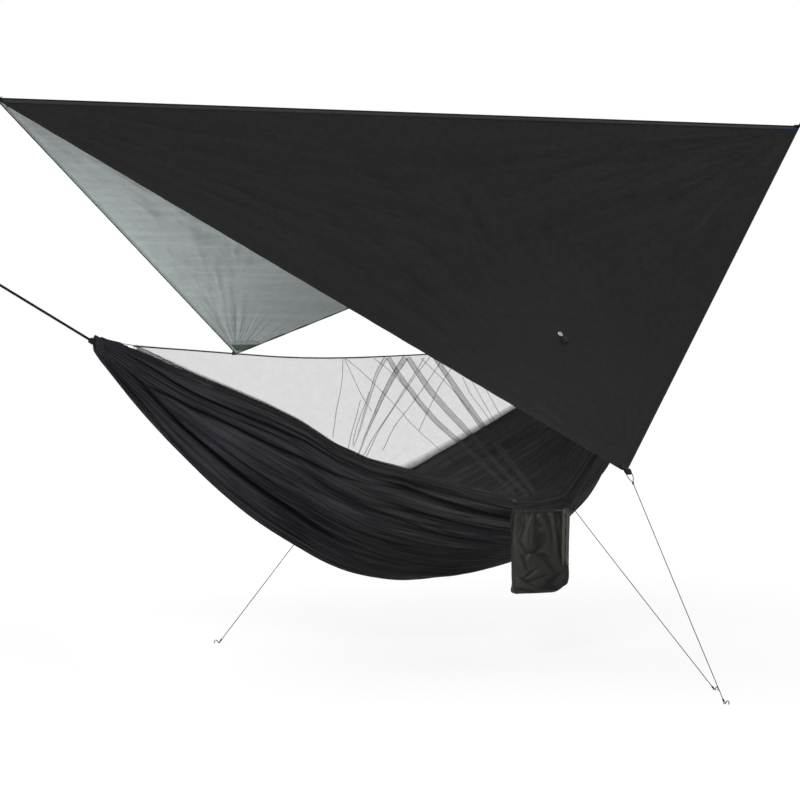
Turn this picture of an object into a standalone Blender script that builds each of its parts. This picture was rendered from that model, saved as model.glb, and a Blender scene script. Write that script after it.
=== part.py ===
"""Hammock tent: a gathered-end hammock with a sewn-in net, under a square fly pitched on its diagonal.

Metres, +Z up. The origin is where the tree strap bears in the head-side carabiner, +X runs to the foot
end and -Y is the side with the zip and the stuff sack.
"""

import math

import bmesh
import bpy
import numpy as np
from mathutils import Matrix, Vector

# Fits
GAP = 0.0003
WELD = 0.00001

# Faceting
SHARP_ANGLE = math.radians(50.0)
TURN_STEPS = 12
KNOT_STEPS = 10
LOCK_STEPS = 20
CORNER_STEPS = 4
ROUND_STEPS = 8
HOLE_STEPS = 12
LINE_POINTS = 24
SPRING_STEPS = 8

# Set-out of the hung parts
ROPE_ANGLE = math.radians(29.3)
HEAD_REACH = 0.580
HAMMOCK_SPAN = 2.705
RIDGE_LIFT = 0.621
FLY_SETBACK = 0.100
GROUND_DROP = 1.549

# Fly
FLY_SIDE = 2.700
FLY_THICKNESS = 0.0015
NEAR_PITCH = math.radians(45.99)
FAR_PITCH = math.radians(31.64)
SEAM_DIAMETER = 0.007
HEM_WIDTH = 0.014
HEM_THICKNESS = 0.003
APEX_HALF_WIDTH = 0.014
WRINKLE_DEPTH = 0.004
WRINKLES_PER_TURN = 24
PANEL_ROWS = 10
PANEL_COLUMNS = 16
PATCH_LEG = 0.090
RIDGE_PATCH_LEG = 0.075
PATCH_CROWN_SHARE = 0.3
PATCH_THICKNESS = 0.001
PULL_TAB_DOWN = 1.235
PULL_TAB_ALONG = 0.041
TAB_FLAT = 0.25

# Webbing
STRAP_WIDTH = 0.020
STRAP_THICKNESS = 0.0015
STRAP_TAIL = 0.028
TIE_TAIL = 0.009
LOOP_LENGTH = 0.030
LOOP_HEIGHT = 0.014
LOOP_SHARES = ((0.45, 0.0), (0.75, 0.06), (0.92, 0.18), (1.0, 0.33), (1.0, 0.67), (0.92, 0.82), (0.75, 0.94),
               (0.45, 1.0), (0.2, 0.72))
TAB_STRAP_WIDTH = 0.015

# Cords and their knots
ROPE_DIAMETER = 0.010
GUY_DIAMETER = 0.003
RIDGE_CORD_DIAMETER = 0.003
DRAWSTRING_DIAMETER = 0.003
EYE_CLEARANCE = 0.0010
EYE_REACH_SHARE = 2.6
BIGHT_STEPS = 7
KNOT_LENGTH_SHARE = 3.0
KNOT_RADIUS_SHARE = 1.25
KNOT_WRAP_SHARES = ((0.12, 1.0), (0.28, 1.0), (0.37, 0.85), (0.46, 1.0), (0.6, 1.0),
                    (0.69, 0.85), (0.78, 1.0), (0.9, 1.0), (1.0, 0.8))
HEAD_KNOT_SHARE = 2.1
RIDGE_TIE_LENGTH = 0.090
RIDGE_TIE_ANGLE = math.radians(22.0)
LINE_SAG_SHARE = 0.002

# Carabiners
CARABINER_LENGTH = 0.080
CARABINER_WIDTH = 0.042
BAR_SIZE = 0.008
BAR_CHAMFER = 0.002
BASKET_FLAT = 0.010
NOSE_STUB = 0.002
HINGE_STUB = 0.001
PIN_RISE = 0.006
PIN_DIAMETER = 0.0024
TONGUE_THICKNESS = 0.0030
GATE_DIAMETER = 0.0062
EAR_SETBACK = 0.0002

# Bed: shares of the span along it, and of each depth below the head end
BED_THICKNESS = 0.0018
BED_DEPTH = 0.967
BOTTOM_SHARES = ((0.0, 0.039), (0.056, 0.212), (0.137, 0.44), (0.236, 0.674), (0.325, 0.829),
                 (0.389, 0.922), (0.504, 1.0), (0.626, 0.971), (0.706, 0.897), (0.764, 0.804),
                 (0.818, 0.689), (0.864, 0.521), (0.925, 0.29), (1.0, 0.041))
NEAR_TIE_SHARE = 0.6628
NEAR_OUT = 0.540
NEAR_DEPTH = 0.629
NEAR_EDGE_SHARES = ((0.0, -0.035), (0.0336, 0.037), (0.0743, 0.122), (0.1425, 0.258), (0.2112, 0.382),
                    (0.2806, 0.526), (0.3578, 0.74), (0.4144, 0.81), (0.4787, 0.903), (0.536, 0.976),
                    (0.5827, 1.03), (0.6628, 1.0), (0.70, 0.9), (0.741, 0.78), (0.87, 0.39), (1.0, -0.032))
FAR_TIE_SHARE = 0.5187
FAR_OUT = 0.520
FAR_DEPTH = 0.615
FAR_EDGE_SHARES = ((0.0, -0.035), (0.122, 0.26), (0.254, 0.51), (0.387, 0.78), (0.5187, 1.0), (0.594, 0.961),
                   (0.6605, 0.8), (0.7202, 0.6455), (0.7765, 0.491), (0.89, 0.21), (1.0, -0.032))
SECTION_POWER = 1.18
FOLD_DEPTH = 0.010
FOLDS_ACROSS = 5.5
FOLD_DRIFT = 2.4
FOLD_FADE_POWER = 0.6
FOLD_START_SHARE = 0.25
FOLD_GROWTH_WIDTH = 0.080
BED_COLUMNS = 23

# Gathered end sleeves
SLEEVE_DEPTH = 0.020
SLEEVE_TOP = 0.030
SLEEVE_BOTTOM = 0.038
SLEEVE_HALF_WIDTH = 0.020
SLEEVE_PLEATS = 9
PLEAT_SHARE = 0.08
SLEEVE_ROUNDING = 0.003
GATHER_HALF_WIDTH = 0.014

# Net, hems and zip along the bed's edges
EDGE_START_SHARE = 0.06
TIE_FLAT_SHARE = 0.005
SACK_FLAT_SHARE = 0.016
NET_THICKNESS = 0.001
NET_RISE = 0.022
NET_SAG = 0.092
NET_SAG_SHARES = ((0.0, 0.0), (0.04, 0.27), (0.136, 0.54), (0.227, 0.76), (0.303, 0.93), (0.389, 1.0),
                  (0.476, 0.967), (0.543, 0.91), (0.763, 0.62), (1.0, 0.0))
NET_BELLY = 0.020
NET_FOLD_DEPTH = 0.012
NET_FOLD_WIDTH_SHARE = 0.016
NET_FADE_POWER = 0.5
NET_FOLD_SHARES = ((0.358, 0.476), (0.362, 0.509), (0.366, 0.545), (0.611, 0.476), (0.611, 0.509),
                   (0.621, 0.55), (0.631, 0.611))
BED_HEM_HEIGHT = 0.010
BED_HEM_THICKNESS = 0.003
ZIP_HEIGHT = 0.022
ZIP_THICKNESS = 0.0012
SLIDER_LENGTH = 0.014
SLIDER_HEIGHT = 0.009
SLIDER_THICKNESS = 0.005
SLIDER_ROUNDING = 0.001
SLIDER_NOSE_SHARE = 0.66
LUG_HEIGHT = 0.0045
LUG_REACH = 0.0035
LUG_DIAMETER = 0.0015
PULL_LENGTH = 0.030
PULL_WIDTH = 0.007
PULL_THICKNESS = 0.0014
PULL_BAR = 0.0014
PULL_LIFT = 0.0018
PULL_SLOT_WIDTH = 0.0034
PULL_SLOT_END = 0.0064

# Pegs: where each line meets its peg, from the head anchor
PEG_DIAMETER = 0.004
PEG_LENGTH = 0.170
PEG_LEAN = math.radians(35.0)
PEG_HOOK_RADIUS = 0.007
PEG_NECK = 0.012
PEG_POINT = 0.012
PEG_POINT_SHARE = 0.25
PEG_HOOK_TURN = math.radians(200.0)
PEG_HOOK_STEPS = 8
FLY_PEG_X = 2.076
FLY_PEG_Y = -1.828
NEAR_PEG_X = 2.271
NEAR_PEG_Y = -1.521
FAR_PEG_X = 1.414
FAR_PEG_Y = 0.699

# Stuff sack: its top above the cord it hangs by, its back from it
SACK_WIDTH = 0.236
SACK_DEPTH = 0.100
SACK_HEIGHT = 0.312
SACK_RUN_SHARE = 0.6092
SACK_STANDOFF = 0.010
SACK_TOP = 0.010
SACK_RING_SHARES = ((0.0, 0.84), (0.03, 0.94), (0.1, 0.98), (0.3, 1.0), (0.6, 1.0),
                    (0.86, 0.99), (0.95, 0.93), (0.99, 0.78), (1.0, 0.6))
SACK_SQUARENESS = 2.8
SACK_SIDES = 24
SACK_END_SHARE = 0.3
CHANNEL_HEIGHT = 0.012
CHANNEL_SHARE = 0.9
CHANNEL_WALL_SHARE = 0.16
PUCKER_SHARE = 0.015
HANGER_WIDTH = 0.060
BAIL_LENGTH = 0.160
BAIL_CORNER = 0.004
BAIL_SLACK = 0.0045

# Cord lock and drawstring ends, from the lock's foot
LOCK_DIAMETER = 0.015
LOCK_HEIGHT = 0.018
LOCK_FLOOR = 0.003
LOCK_CORD_HEIGHT = 0.0138
LOCK_X = 0.078
LOCK_OUT = 0.0095
LOCK_ROUNDING = 0.001
BUTTON_DIAMETER = 0.0104
BUTTON_WALL = 0.0018
BUTTON_TRAVEL = 0.004
SPRING_WIRE = 0.0006
SPRING_CURLS = 3
DRAWSTRING_DROP = 0.205
CORD_BEND = 0.005
TURN_BENDS = {"inner": 1, "outer": 3}
LEAD_BENDS = {"inner": 2, "outer": 4}
CORD_LIE = 0.006
CORD_HANG_SHARES = (0.08, 0.25, 0.45, 0.65, 0.85, 0.97, 1.0)
KNOT_X = 0.018
PAIR_KNOT_SHARE = 1.5

# Where the pieces go: the hung pieces' key points
PULL_HEAD = Vector((-math.cos(ROPE_ANGLE), 0, math.sin(ROPE_ANGLE)))
PULL_FOOT = Vector((math.cos(ROPE_ANGLE), 0, math.sin(ROPE_ANGLE)))
HEAD = -HEAD_REACH * PULL_HEAD
FOOT = HEAD + Vector((HAMMOCK_SPAN, 0, 0))
HALF_DIAGONAL = FLY_SIDE / math.sqrt(2)
RIDGE_MIDDLE = Vector((FLY_SETBACK + HALF_DIAGONAL, 0, RIDGE_LIFT))
BED_START_SHARE = (SLEEVE_DEPTH + GAP + BED_THICKNESS / 2) / HAMMOCK_SPAN

X_AXIS = Vector((1, 0, 0))
Y_AXIS = Vector((0, 1, 0))
Z_AXIS = Vector((0, 0, 1))


def new_collection(name):
    collection = bpy.data.collections.new(name)
    bpy.context.scene.collection.children.link(collection)
    return collection


def clear_scene():
    for thing in list(bpy.data.objects):
        bpy.data.objects.remove(thing)
    for collection in list(bpy.data.collections):
        bpy.data.collections.remove(collection)


clear_scene()
PARTS = new_collection("hammock_tent")
CUTTERS = new_collection("cutters")


def material(name, colour, roughness, metallic=0.0):
    made = bpy.data.materials.new(name)
    made.use_nodes = True
    shader = made.node_tree.nodes["Principled BSDF"]
    shader.inputs["Base Color"].default_value = (*colour, 1.0)
    shader.inputs["Roughness"].default_value = roughness
    shader.inputs["Metallic"].default_value = metallic
    return made


BLACK_NYLON = material("black_nylon", (0.014, 0.014, 0.015), 0.6)
FLY_BLACK = material("fly_black", (0.017, 0.017, 0.018), 0.55)
FLY_SILVER = material("fly_silver", (0.40, 0.43, 0.43), 0.45)
BINDING_GREEN = material("binding_green", (0.02, 0.045, 0.03), 0.7)
WEBBING_BLACK = material("webbing_black", (0.01, 0.01, 0.011), 0.8)
NET_GREY = material("net_grey", (0.10, 0.095, 0.095), 0.8)
CORD_BLACK = material("cord_black", (0.01, 0.01, 0.012), 0.75)
GUY_GREY = material("guy_grey", (0.05, 0.05, 0.055), 0.7)
STEEL = material("steel", (0.55, 0.56, 0.58), 0.3, 1.0)
PEG_ALUMINIUM = material("peg_aluminium", (0.6, 0.61, 0.62), 0.35, 1.0)
PLASTIC_BLACK = material("plastic_black", (0.012, 0.012, 0.012), 0.45)


def keep(thing, look):
    """Puts a finished piece in the part with its own material."""
    PARTS.objects.link(thing)
    thing.data.materials.clear()
    thing.data.materials.append(look)
    return thing


def hide_away(thing):
    """A cutter or a guide: seen as a wire, left out of the part."""
    CUTTERS.objects.link(thing)
    thing.hide_render = True
    thing.display_type = "WIRE"
    return thing


def frame_of(at, x_axis, z_axis):
    """The placement at a point with X along x_axis and Z as near z_axis as that allows."""
    x = x_axis.normalized()
    z = (z_axis - z_axis.dot(x) * x).normalized()
    return Matrix.Translation(at) @ Matrix((x, z.cross(x), z)).transposed().to_4x4()


def curve_object(name, splines, closed, flat):
    data = bpy.data.curves.new(name, "CURVE")
    data.dimensions = "2D" if flat else "3D"
    for points in splines:
        spline = data.splines.new("POLY")
        spline.points.add(len(points) - 1)
        for point, place in zip(spline.points, points):
            point.co = (*Vector(place).to_3d(), 1)
        spline.use_cyclic_u = closed
    return bpy.data.objects.new(name, data)


def tube(name, points, diameter, sides_level=2):
    """A cord, wire or bar along points, with filled ends."""
    made = curve_object(name, [points], False, False)
    made.data.bevel_depth = diameter / 2
    made.data.bevel_resolution = sides_level
    made.data.use_fill_caps = True
    return made


def plate(name, outlines, thickness, placement, rounding=0.0):
    """A flat outline, with any holes in it as further outlines, centred on its thickness."""
    made = curve_object(name, outlines, True, True)
    made.data.fill_mode = "BOTH"
    made.data.extrude = thickness / 2 - rounding
    made.data.bevel_depth = rounding
    made.data.bevel_resolution = 1 if rounding else 0
    made.matrix_world = placement
    return made


def strap(name, path, width, thickness, placement):
    """Flat webbing along a path in the placement's XY plane, its width along the placement's Z."""
    made = curve_object(name, [path], False, True)
    made.data.fill_mode = "NONE"
    made.data.extrude = width / 2
    made.matrix_world = placement
    shell = made.modifiers.new("thickness", "SOLIDIFY")
    shell.thickness = thickness
    shell.offset = 0
    shell.use_even_offset = True
    return made


def cloth(name, rows, thickness):
    """A sheet through rows of points, made solid about its middle."""
    across = len(rows[0])
    mesh = bpy.data.meshes.new(name)
    corners = [point for row in rows for point in row]
    faces = [(r * across + c, r * across + c + 1, (r + 1) * across + c + 1, (r + 1) * across + c)
             for r in range(len(rows) - 1) for c in range(across - 1)]
    mesh.from_pydata(corners, [], faces)
    mesh.shade_smooth()
    made = bpy.data.objects.new(name, mesh)
    shell = made.modifiers.new("thickness", "SOLIDIFY")
    shell.thickness = thickness
    shell.offset = 0
    return made


def loft(name, rings):
    """A closed solid through rings of as many points each, with flat ends."""
    mesh = bpy.data.meshes.new(name)
    around = len(rings[0])
    shape = bmesh.new()
    verts = [[shape.verts.new(point) for point in ring] for ring in rings]
    for low, high in zip(verts, verts[1:]):
        for i in range(around):
            shape.faces.new((low[i], low[(i + 1) % around], high[(i + 1) % around], high[i]))
    shape.faces.new(verts[0][::-1])
    shape.faces.new(verts[-1])
    bmesh.ops.recalc_face_normals(shape, faces=shape.faces)
    shape.to_mesh(mesh)
    shape.free()
    mesh.shade_smooth()
    mesh.set_sharp_from_angle(angle=SHARP_ANGLE)
    return bpy.data.objects.new(name, mesh)


def turned(name, profile, placement, steps=TURN_STEPS):
    """A turned solid about the placement's Z: (radius, height) pairs from top centre to bottom."""
    mesh = bpy.data.meshes.new(name)
    mesh.from_pydata([(radius, 0, height) for radius, height in profile],
                     [(i, i + 1) for i in range(len(profile) - 1)], [])
    made = bpy.data.objects.new(name, mesh)
    made.matrix_world = placement
    screw = made.modifiers.new("turn", "SCREW")
    screw.steps = steps
    screw.render_steps = steps
    screw.use_merge_vertices = True
    screw.merge_threshold = WELD
    return made


def as_mesh(source):
    """A curve object made a mesh with its loose caps welded on."""
    name = source.name
    scratch = bpy.context.scene.collection.objects
    scratch.link(source)
    bpy.context.view_layer.update()
    graph = bpy.context.evaluated_depsgraph_get()
    mesh = bpy.data.meshes.new_from_object(source.evaluated_get(graph))
    shape = bmesh.new()
    shape.from_mesh(mesh)
    bmesh.ops.remove_doubles(shape, verts=shape.verts, dist=WELD)
    shape.to_mesh(mesh)
    shape.free()
    made = bpy.data.objects.new(name, mesh)
    made.matrix_world = source.matrix_world.copy()
    bpy.data.objects.remove(source)
    made.name = name
    return made


def turn_on(thing, at):
    """Puts a moving piece's origin on its joint's axis."""
    inside = thing.matrix_world.inverted() @ at
    thing.data.transform(Matrix.Translation(-inside))
    thing.matrix_world = thing.matrix_world @ Matrix.Translation(inside)
    return thing


def join_to(base, other, operation="UNION"):
    """Keeps other as a hidden operand that is united with base or cut from it."""
    hide_away(other)
    step = base.modifiers.new(other.name, "BOOLEAN")
    step.operation = operation
    step.object = other
    return base


def arc(centre, radius, start, stop, steps):
    """Points on an arc in a plane, from the start angle to the stop angle."""
    return [(centre[0] + radius * math.cos(start + (stop - start) * i / steps),
             centre[1] + radius * math.sin(start + (stop - start) * i / steps)) for i in range(steps + 1)]


def smooth_through(shares, at):
    """The value at a share of the run, on a smooth curve through (run share, value share) pairs."""
    runs, values = np.array(shares).T
    slopes = np.gradient(values, runs)
    i = int(np.clip(np.searchsorted(runs, at) - 1, 0, len(runs) - 2))
    step = runs[i + 1] - runs[i]
    t = (at - runs[i]) / step
    return float((2 * t**3 - 3 * t**2 + 1) * values[i] + (t**3 - 2 * t**2 + t) * step * slopes[i]
                 + (3 * t**2 - 2 * t**3) * values[i + 1] + (t**3 - t**2) * step * slopes[i + 1])


def straight_line(start, stop, sag, count):
    """A taut line's points, with the little sag that its own weight leaves."""
    shares = [i / (count - 1) for i in range(count)]
    return [start.lerp(stop, share) - 4 * share * (1 - share) * sag * Z_AXIS for share in shares]


# Stations along the hammock, which every piece along its edges shares
def stations():
    """Shares of the span where the cloth's rows lie, with a straight stretch at each tie-out."""
    ends = list(np.linspace(BED_START_SHARE, EDGE_START_SHARE, 4)[:-1])
    first, second = FAR_TIE_SHARE, NEAR_TIE_SHARE
    middle = [*np.linspace(EDGE_START_SHARE, first - TIE_FLAT_SHARE, 11),
              first + TIE_FLAT_SHARE, SACK_RUN_SHARE - SACK_FLAT_SHARE, SACK_RUN_SHARE + SACK_FLAT_SHARE,
              second - TIE_FLAT_SHARE,
              *np.linspace(second + TIE_FLAT_SHARE, 1 - EDGE_START_SHARE, 6)]
    return [*ends, *middle, *(1 - share for share in reversed(ends))]


STATIONS = stations()
EDGE_STATIONS = [share for share in STATIONS
                 if EDGE_START_SHARE - WELD <= share <= 1 - EDGE_START_SHARE + WELD]


def edge_at(share, side):
    """The bed's edge on its smooth curve: side -1 is the near edge, +1 the far one."""
    near = side < 0
    tie = NEAR_TIE_SHARE if near else FAR_TIE_SHARE
    out = NEAR_OUT if near else FAR_OUT
    depth = NEAR_DEPTH if near else FAR_DEPTH
    shares = NEAR_EDGE_SHARES if near else FAR_EDGE_SHARES
    width = GATHER_HALF_WIDTH + (out - GATHER_HALF_WIDTH) * min(share / tie, (1 - share) / (1 - tie))
    return HEAD + Vector((HAMMOCK_SPAN * share, side * width, -depth * smooth_through(shares, share)))


def ridge_cord_at(share):
    sag = NET_SAG * smooth_through(NET_SAG_SHARES, share)
    return HEAD + Vector((HAMMOCK_SPAN * share, 0, NET_RISE - sag))


def on_stations(place, share):
    """The point at a share of the span, on the straight stretches between the stations."""
    i = int(np.clip(np.searchsorted(STATIONS, share) - 1, 0, len(STATIONS) - 2))
    low, high = STATIONS[i], STATIONS[i + 1]
    return place(low).lerp(place(high), (share - low) / (high - low))


def edge_frame(share, side):
    """The edge point, the way up the net and the way out of it, at a share of the span."""
    stretch = int(np.clip(np.searchsorted(STATIONS, share) - 1, 0, len(STATIONS) - 2))
    along = edge_at(STATIONS[stretch + 1], side) - edge_at(STATIONS[stretch], side)
    edge = on_stations(lambda run: edge_at(run, side), share)
    up = (on_stations(ridge_cord_at, share) - edge).normalized()
    out = up.cross(along).normalized()
    return edge, up, out if out.y * side > 0 else -out


def bed_row(share):
    """The bed's cross-section from near edge to far edge under the sleeper, with its long folds."""
    near, far = edge_at(share, -1), edge_at(share, 1)
    low = HEAD.z - BED_DEPTH * smooth_through(BOTTOM_SHARES, share)
    row = []
    for column in range(BED_COLUMNS):
        across = column / (BED_COLUMNS - 1)
        angle = math.pi * across
        edge = near if across <= 0.5 else far
        width = abs(math.cos(angle)) ** SECTION_POWER
        fall = math.sin(angle) ** SECTION_POWER
        size = min(1.0, FOLD_START_SHARE + abs(near.y) / FOLD_GROWTH_WIDTH)
        fade = math.sin(angle) ** FOLD_FADE_POWER
        wave = math.sin(2 * math.pi * FOLDS_ACROSS * across + FOLD_DRIFT * share) * fade
        push = FOLD_DEPTH * size * wave
        row.append(Vector((near.x, edge.y * width - math.cos(angle) * push,
                           edge.z + (low - edge.z) * fall - math.sin(angle) * push)))
    return row


def edge_strip(name, side, start, height, thickness, steps=2):
    """A strip that follows the bed's edge, from start to start + height up the net."""
    shares = finer(EDGE_STATIONS, steps)
    rows = []
    for share in shares:
        edge, up, _ = edge_frame(share, side)
        rows.append([edge + up * start, edge + up * (start + height)])
    return cloth(name, rows, thickness)


def finer(shares, steps):
    """Shares with each stretch between them cut into steps."""
    found = [low + (high - low) * i / steps for low, high in zip(shares, shares[1:]) for i in range(steps)]
    return [*found, shares[-1]]


EDGE_SEAT = BED_THICKNESS / 2 + 2 * GAP
HEM_START = EDGE_SEAT
ZIP_START = HEM_START + BED_HEM_HEIGHT + GAP
NEAR_NET_START = ZIP_START + ZIP_HEIGHT + GAP
FAR_NET_START = HEM_START + BED_HEM_HEIGHT + GAP
NET_TOP_CLEAR = RIDGE_CORD_DIAMETER / 2 + GAP


def net_panel(name, side, start, steps, rows_up, folds):
    """A net panel from the zip or hem up to the ridge cord, drawn into folds that fan up from the edge."""
    rows = []
    for share in finer(EDGE_STATIONS, steps):
        edge, up, out = edge_frame(share, side)
        height = (on_stations(ridge_cord_at, share) - edge).length
        row = []
        for level in range(rows_up + 1):
            rise = level / rows_up
            push = -NET_BELLY * math.sin(math.pi * rise) * min(1.0, height / (FAR_DEPTH / 2))
            for foot_share, top_share in folds:
                line = foot_share + (top_share - foot_share) * rise
                near_line = (share - line) / NET_FOLD_WIDTH_SHARE
                push += NET_FOLD_DEPTH * math.exp(-near_line**2) * math.sin(math.pi * rise) ** NET_FADE_POWER
            row.append(edge + up * (start + (height - NET_TOP_CLEAR - start) * rise) + out * push)
        rows.append(row)
    return cloth(name, rows, NET_THICKNESS)


def sleeve(name, at, inward):
    """The end sleeve's bunched cloth: a pleated oval across the hammock."""
    middle = (SLEEVE_TOP - SLEEVE_BOTTOM) / 2
    half_height = (SLEEVE_TOP + SLEEVE_BOTTOM) / 2
    outline = []
    for i in range(4 * SLEEVE_PLEATS):
        angle = 2 * math.pi * i / (4 * SLEEVE_PLEATS)
        swell = 1 + PLEAT_SHARE * math.cos(SLEEVE_PLEATS * angle)
        outline.append((SLEEVE_HALF_WIDTH * swell * math.cos(angle),
                        middle + half_height * swell * math.sin(angle)))
    centre = at + inward * (SLEEVE_DEPTH / 2)
    placement = Matrix.Translation(centre) @ Matrix((Y_AXIS, Z_AXIS, X_AXIS)).transposed().to_4x4()
    return plate(name, [outline], SLEEVE_DEPTH, placement, SLEEVE_ROUNDING)


# Knots and eyes
def knot_profile(cord, length):
    """The wraps of a knot, as a turned profile from its free end back to its throat."""
    wraps = [(KNOT_RADIUS_SHARE * cord * share, length * (1 - run)) for run, share in KNOT_WRAP_SHARES]
    return [(0.0, length), (cord / 2, length), *wraps, (0.0, 0.0)]


def lean_seat(profile):
    """How far the foot of a knot that leans at the rope's angle stands off an upright face it touches."""
    return max(radius * math.tan(ROPE_ANGLE) - height for radius, height in profile) + GAP


def eye_length(half_width, cord):
    """From the middle of what the eye holds to the free end of its knot."""
    return EYE_REACH_SHARE * (half_width + EYE_CLEARANCE + cord / 2) + KNOT_LENGTH_SHARE * cord


def cord_eye(name, centre, pull, across, half_width, cord, look, sides_level=1):
    """An eye tied round something as wide as twice half_width, with its knot towards pull."""
    radius = half_width + EYE_CLEARANCE + cord / 2
    throat = EYE_REACH_SHARE * radius
    length = KNOT_LENGTH_SHARE * cord
    apart = cord / 2 + GAP
    bight = arc((0, 0), radius, math.pi / 2, 3 * math.pi / 2, BIGHT_STEPS)
    path = [(throat + length / 2, apart), (throat, apart), *bight, (throat, -apart),
            (throat + length / 2, -apart)]
    placement = frame_of(centre, pull, pull.cross(across))
    loop = tube(name, [placement @ Vector((x, y, 0)) for x, y in path], cord, sides_level)
    knot_placement = frame_of(centre + pull * throat, across, pull)
    knot = turned(name + "_wraps", knot_profile(cord, length), knot_placement, KNOT_STEPS)
    keep(join_to(as_mesh(loop), knot), look)
    return centre + pull * (throat + length + GAP)


def webbing_loop(name, at, out, up, width, look, tail=STRAP_TAIL):
    """Webbing folded into a loop: both tails lie on what carries it and the loop points out."""
    lap = STRAP_THICKNESS + GAP
    shape = [(0, 0), *((run * LOOP_LENGTH, rise * LOOP_HEIGHT) for run, rise in LOOP_SHARES), (0, lap)]
    path = [(-tail, 0), *shape, (-tail, lap)]
    base = at + up * (STRAP_THICKNESS / 2 + GAP)
    keep(strap(name, path, width, STRAP_THICKNESS, frame_of(base, out, out.cross(up))), look)
    return base + up * (LOOP_HEIGHT / 2)


LOOP_BEARING = LOOP_LENGTH - STRAP_THICKNESS / 2


def tie_to_loop(name, base, out, pull, across, width):
    """The eye of a line through a webbing loop, bearing in its end; returns where the line starts."""
    radius = width / 2 + EYE_CLEARANCE + GUY_DIAMETER / 2
    clear = radius * math.cos(math.pi / 2 / BIGHT_STEPS) - GUY_DIAMETER / 2 - GAP
    inset = math.sqrt(clear**2 - (width / 2) ** 2)
    centre = base + out * LOOP_BEARING + pull * inset
    return cord_eye(name, centre, pull, across, width / 2, GUY_DIAMETER, GUY_GREY)


def peg(name, at, towards, look):
    """A wire peg with a hooked head, driven at a lean, that holds a line's eye at a point."""
    level = Vector((towards.x, towards.y, 0)).normalized()
    shaft = level * math.sin(PEG_LEAN) - Z_AXIS * math.cos(PEG_LEAN)
    back = -level * math.cos(PEG_LEAN) - Z_AXIS * math.sin(PEG_LEAN)
    top = at - shaft * PEG_NECK + back * PEG_HOOK_RADIUS
    bend = [top - PEG_HOOK_RADIUS * (back * math.cos(turn) + shaft * math.sin(turn))
            for turn in np.linspace(0, PEG_HOOK_TURN, PEG_HOOK_STEPS)]
    made = tube(name, [at + shaft * PEG_LENGTH, at + shaft * (PEG_LENGTH - PEG_POINT), at, *bend],
                PEG_DIAMETER)
    made.data.splines[0].points[0].radius = PEG_POINT_SHARE
    return keep(made, look)


def guy_line(name, start, stop, look):
    sag = LINE_SAG_SHARE * (stop - start).length
    return keep(tube(name, straight_line(start, stop, sag, LINE_POINTS), GUY_DIAMETER), look)


def staked_line(prefix, loop_base, out, across, width, peg_point):
    """A guy line from a webbing loop to its peg: the two eyes, the line between them and the peg."""
    pull = (peg_point - loop_base - out * LOOP_BEARING).normalized()
    start = tie_to_loop(prefix + "_line_eye", loop_base, out, pull, across, width)
    sideways = pull.cross(Z_AXIS).normalized()
    stop = cord_eye(prefix + "_peg_eye", peg_point, -pull, sideways, PEG_DIAMETER / 2, GUY_DIAMETER,
                    GUY_GREY)
    guy_line(prefix + "_line", start, stop, GUY_GREY)
    peg(prefix + "_peg", peg_point, -pull, PEG_ALUMINIUM)


def ground_point(x, y):
    return Vector((x, y, -GROUND_DROP))


# Fly
def slope_axes(side, pitch):
    """The ways down a fly panel's slope and out of its upper face."""
    down = Vector((0, side * math.cos(pitch), -math.sin(pitch)))
    out = Vector((0, side * math.sin(pitch), math.cos(pitch)))
    return down, out


def fly_panel(name, side, pitch, look):
    """One half of the fly, hung from the ridge seam, with shallow folds that fan from the foot corner."""
    down, out = slope_axes(side, pitch)
    inset = (HEM_WIDTH + GAP) * math.sqrt(2)
    top = SEAM_DIAMETER / 2 + GAP
    bottom = HALF_DIAGONAL - inset - APEX_HALF_WIDTH
    rows = []
    for level in range(PANEL_ROWS + 1):
        fall = top + (bottom - top) * level / PANEL_ROWS
        half = HALF_DIAGONAL - fall - inset
        level_fade = math.sin(math.pi * min(1, level / (PANEL_ROWS - 1)))
        row = []
        for column in range(PANEL_COLUMNS + 1):
            along = half * (2 * column / PANEL_COLUMNS - 1)
            inner_share = min(1, max(0, (column - 1) / (PANEL_COLUMNS - 2)))
            wave = math.sin(WRINKLES_PER_TURN * math.atan2(fall, HALF_DIAGONAL - along))
            from_tab = math.hypot(along - PULL_TAB_ALONG, fall - PULL_TAB_DOWN) / TAB_FLAT - 1
            wave *= min(1, max(0, from_tab))
            lift = WRINKLE_DEPTH * wave * level_fade * math.sin(math.pi * inner_share)
            row.append(RIDGE_MIDDLE + X_AXIS * along + down * fall + out * lift)
        rows.append(row)
    return keep(turn_on(cloth(name, rows, FLY_THICKNESS), RIDGE_MIDDLE), look)


def fly_hem(name, side, pitch, look):
    """The rolled hem down both free edges of a fly panel and round its corner."""
    _, out = slope_axes(side, pitch)
    top = SEAM_DIAMETER / 2 + GAP
    lap = HEM_WIDTH * math.sqrt(2)
    outer = [(HALF_DIAGONAL - top, top), (APEX_HALF_WIDTH, HALF_DIAGONAL - APEX_HALF_WIDTH)]
    inner = [(HALF_DIAGONAL - lap - top, top), (APEX_HALF_WIDTH, HALF_DIAGONAL - lap - APEX_HALF_WIDTH)]
    mirrored = [(-x, y) for x, y in reversed(outer)]
    mirrored_inner = [(-x, y) for x, y in inner]
    outline = [*outer, *mirrored, *mirrored_inner, *reversed(inner)]
    placement = frame_of(RIDGE_MIDDLE, X_AXIS * side, out)
    return keep(plate(name, [outline], HEM_THICKNESS, placement), look)


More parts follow.
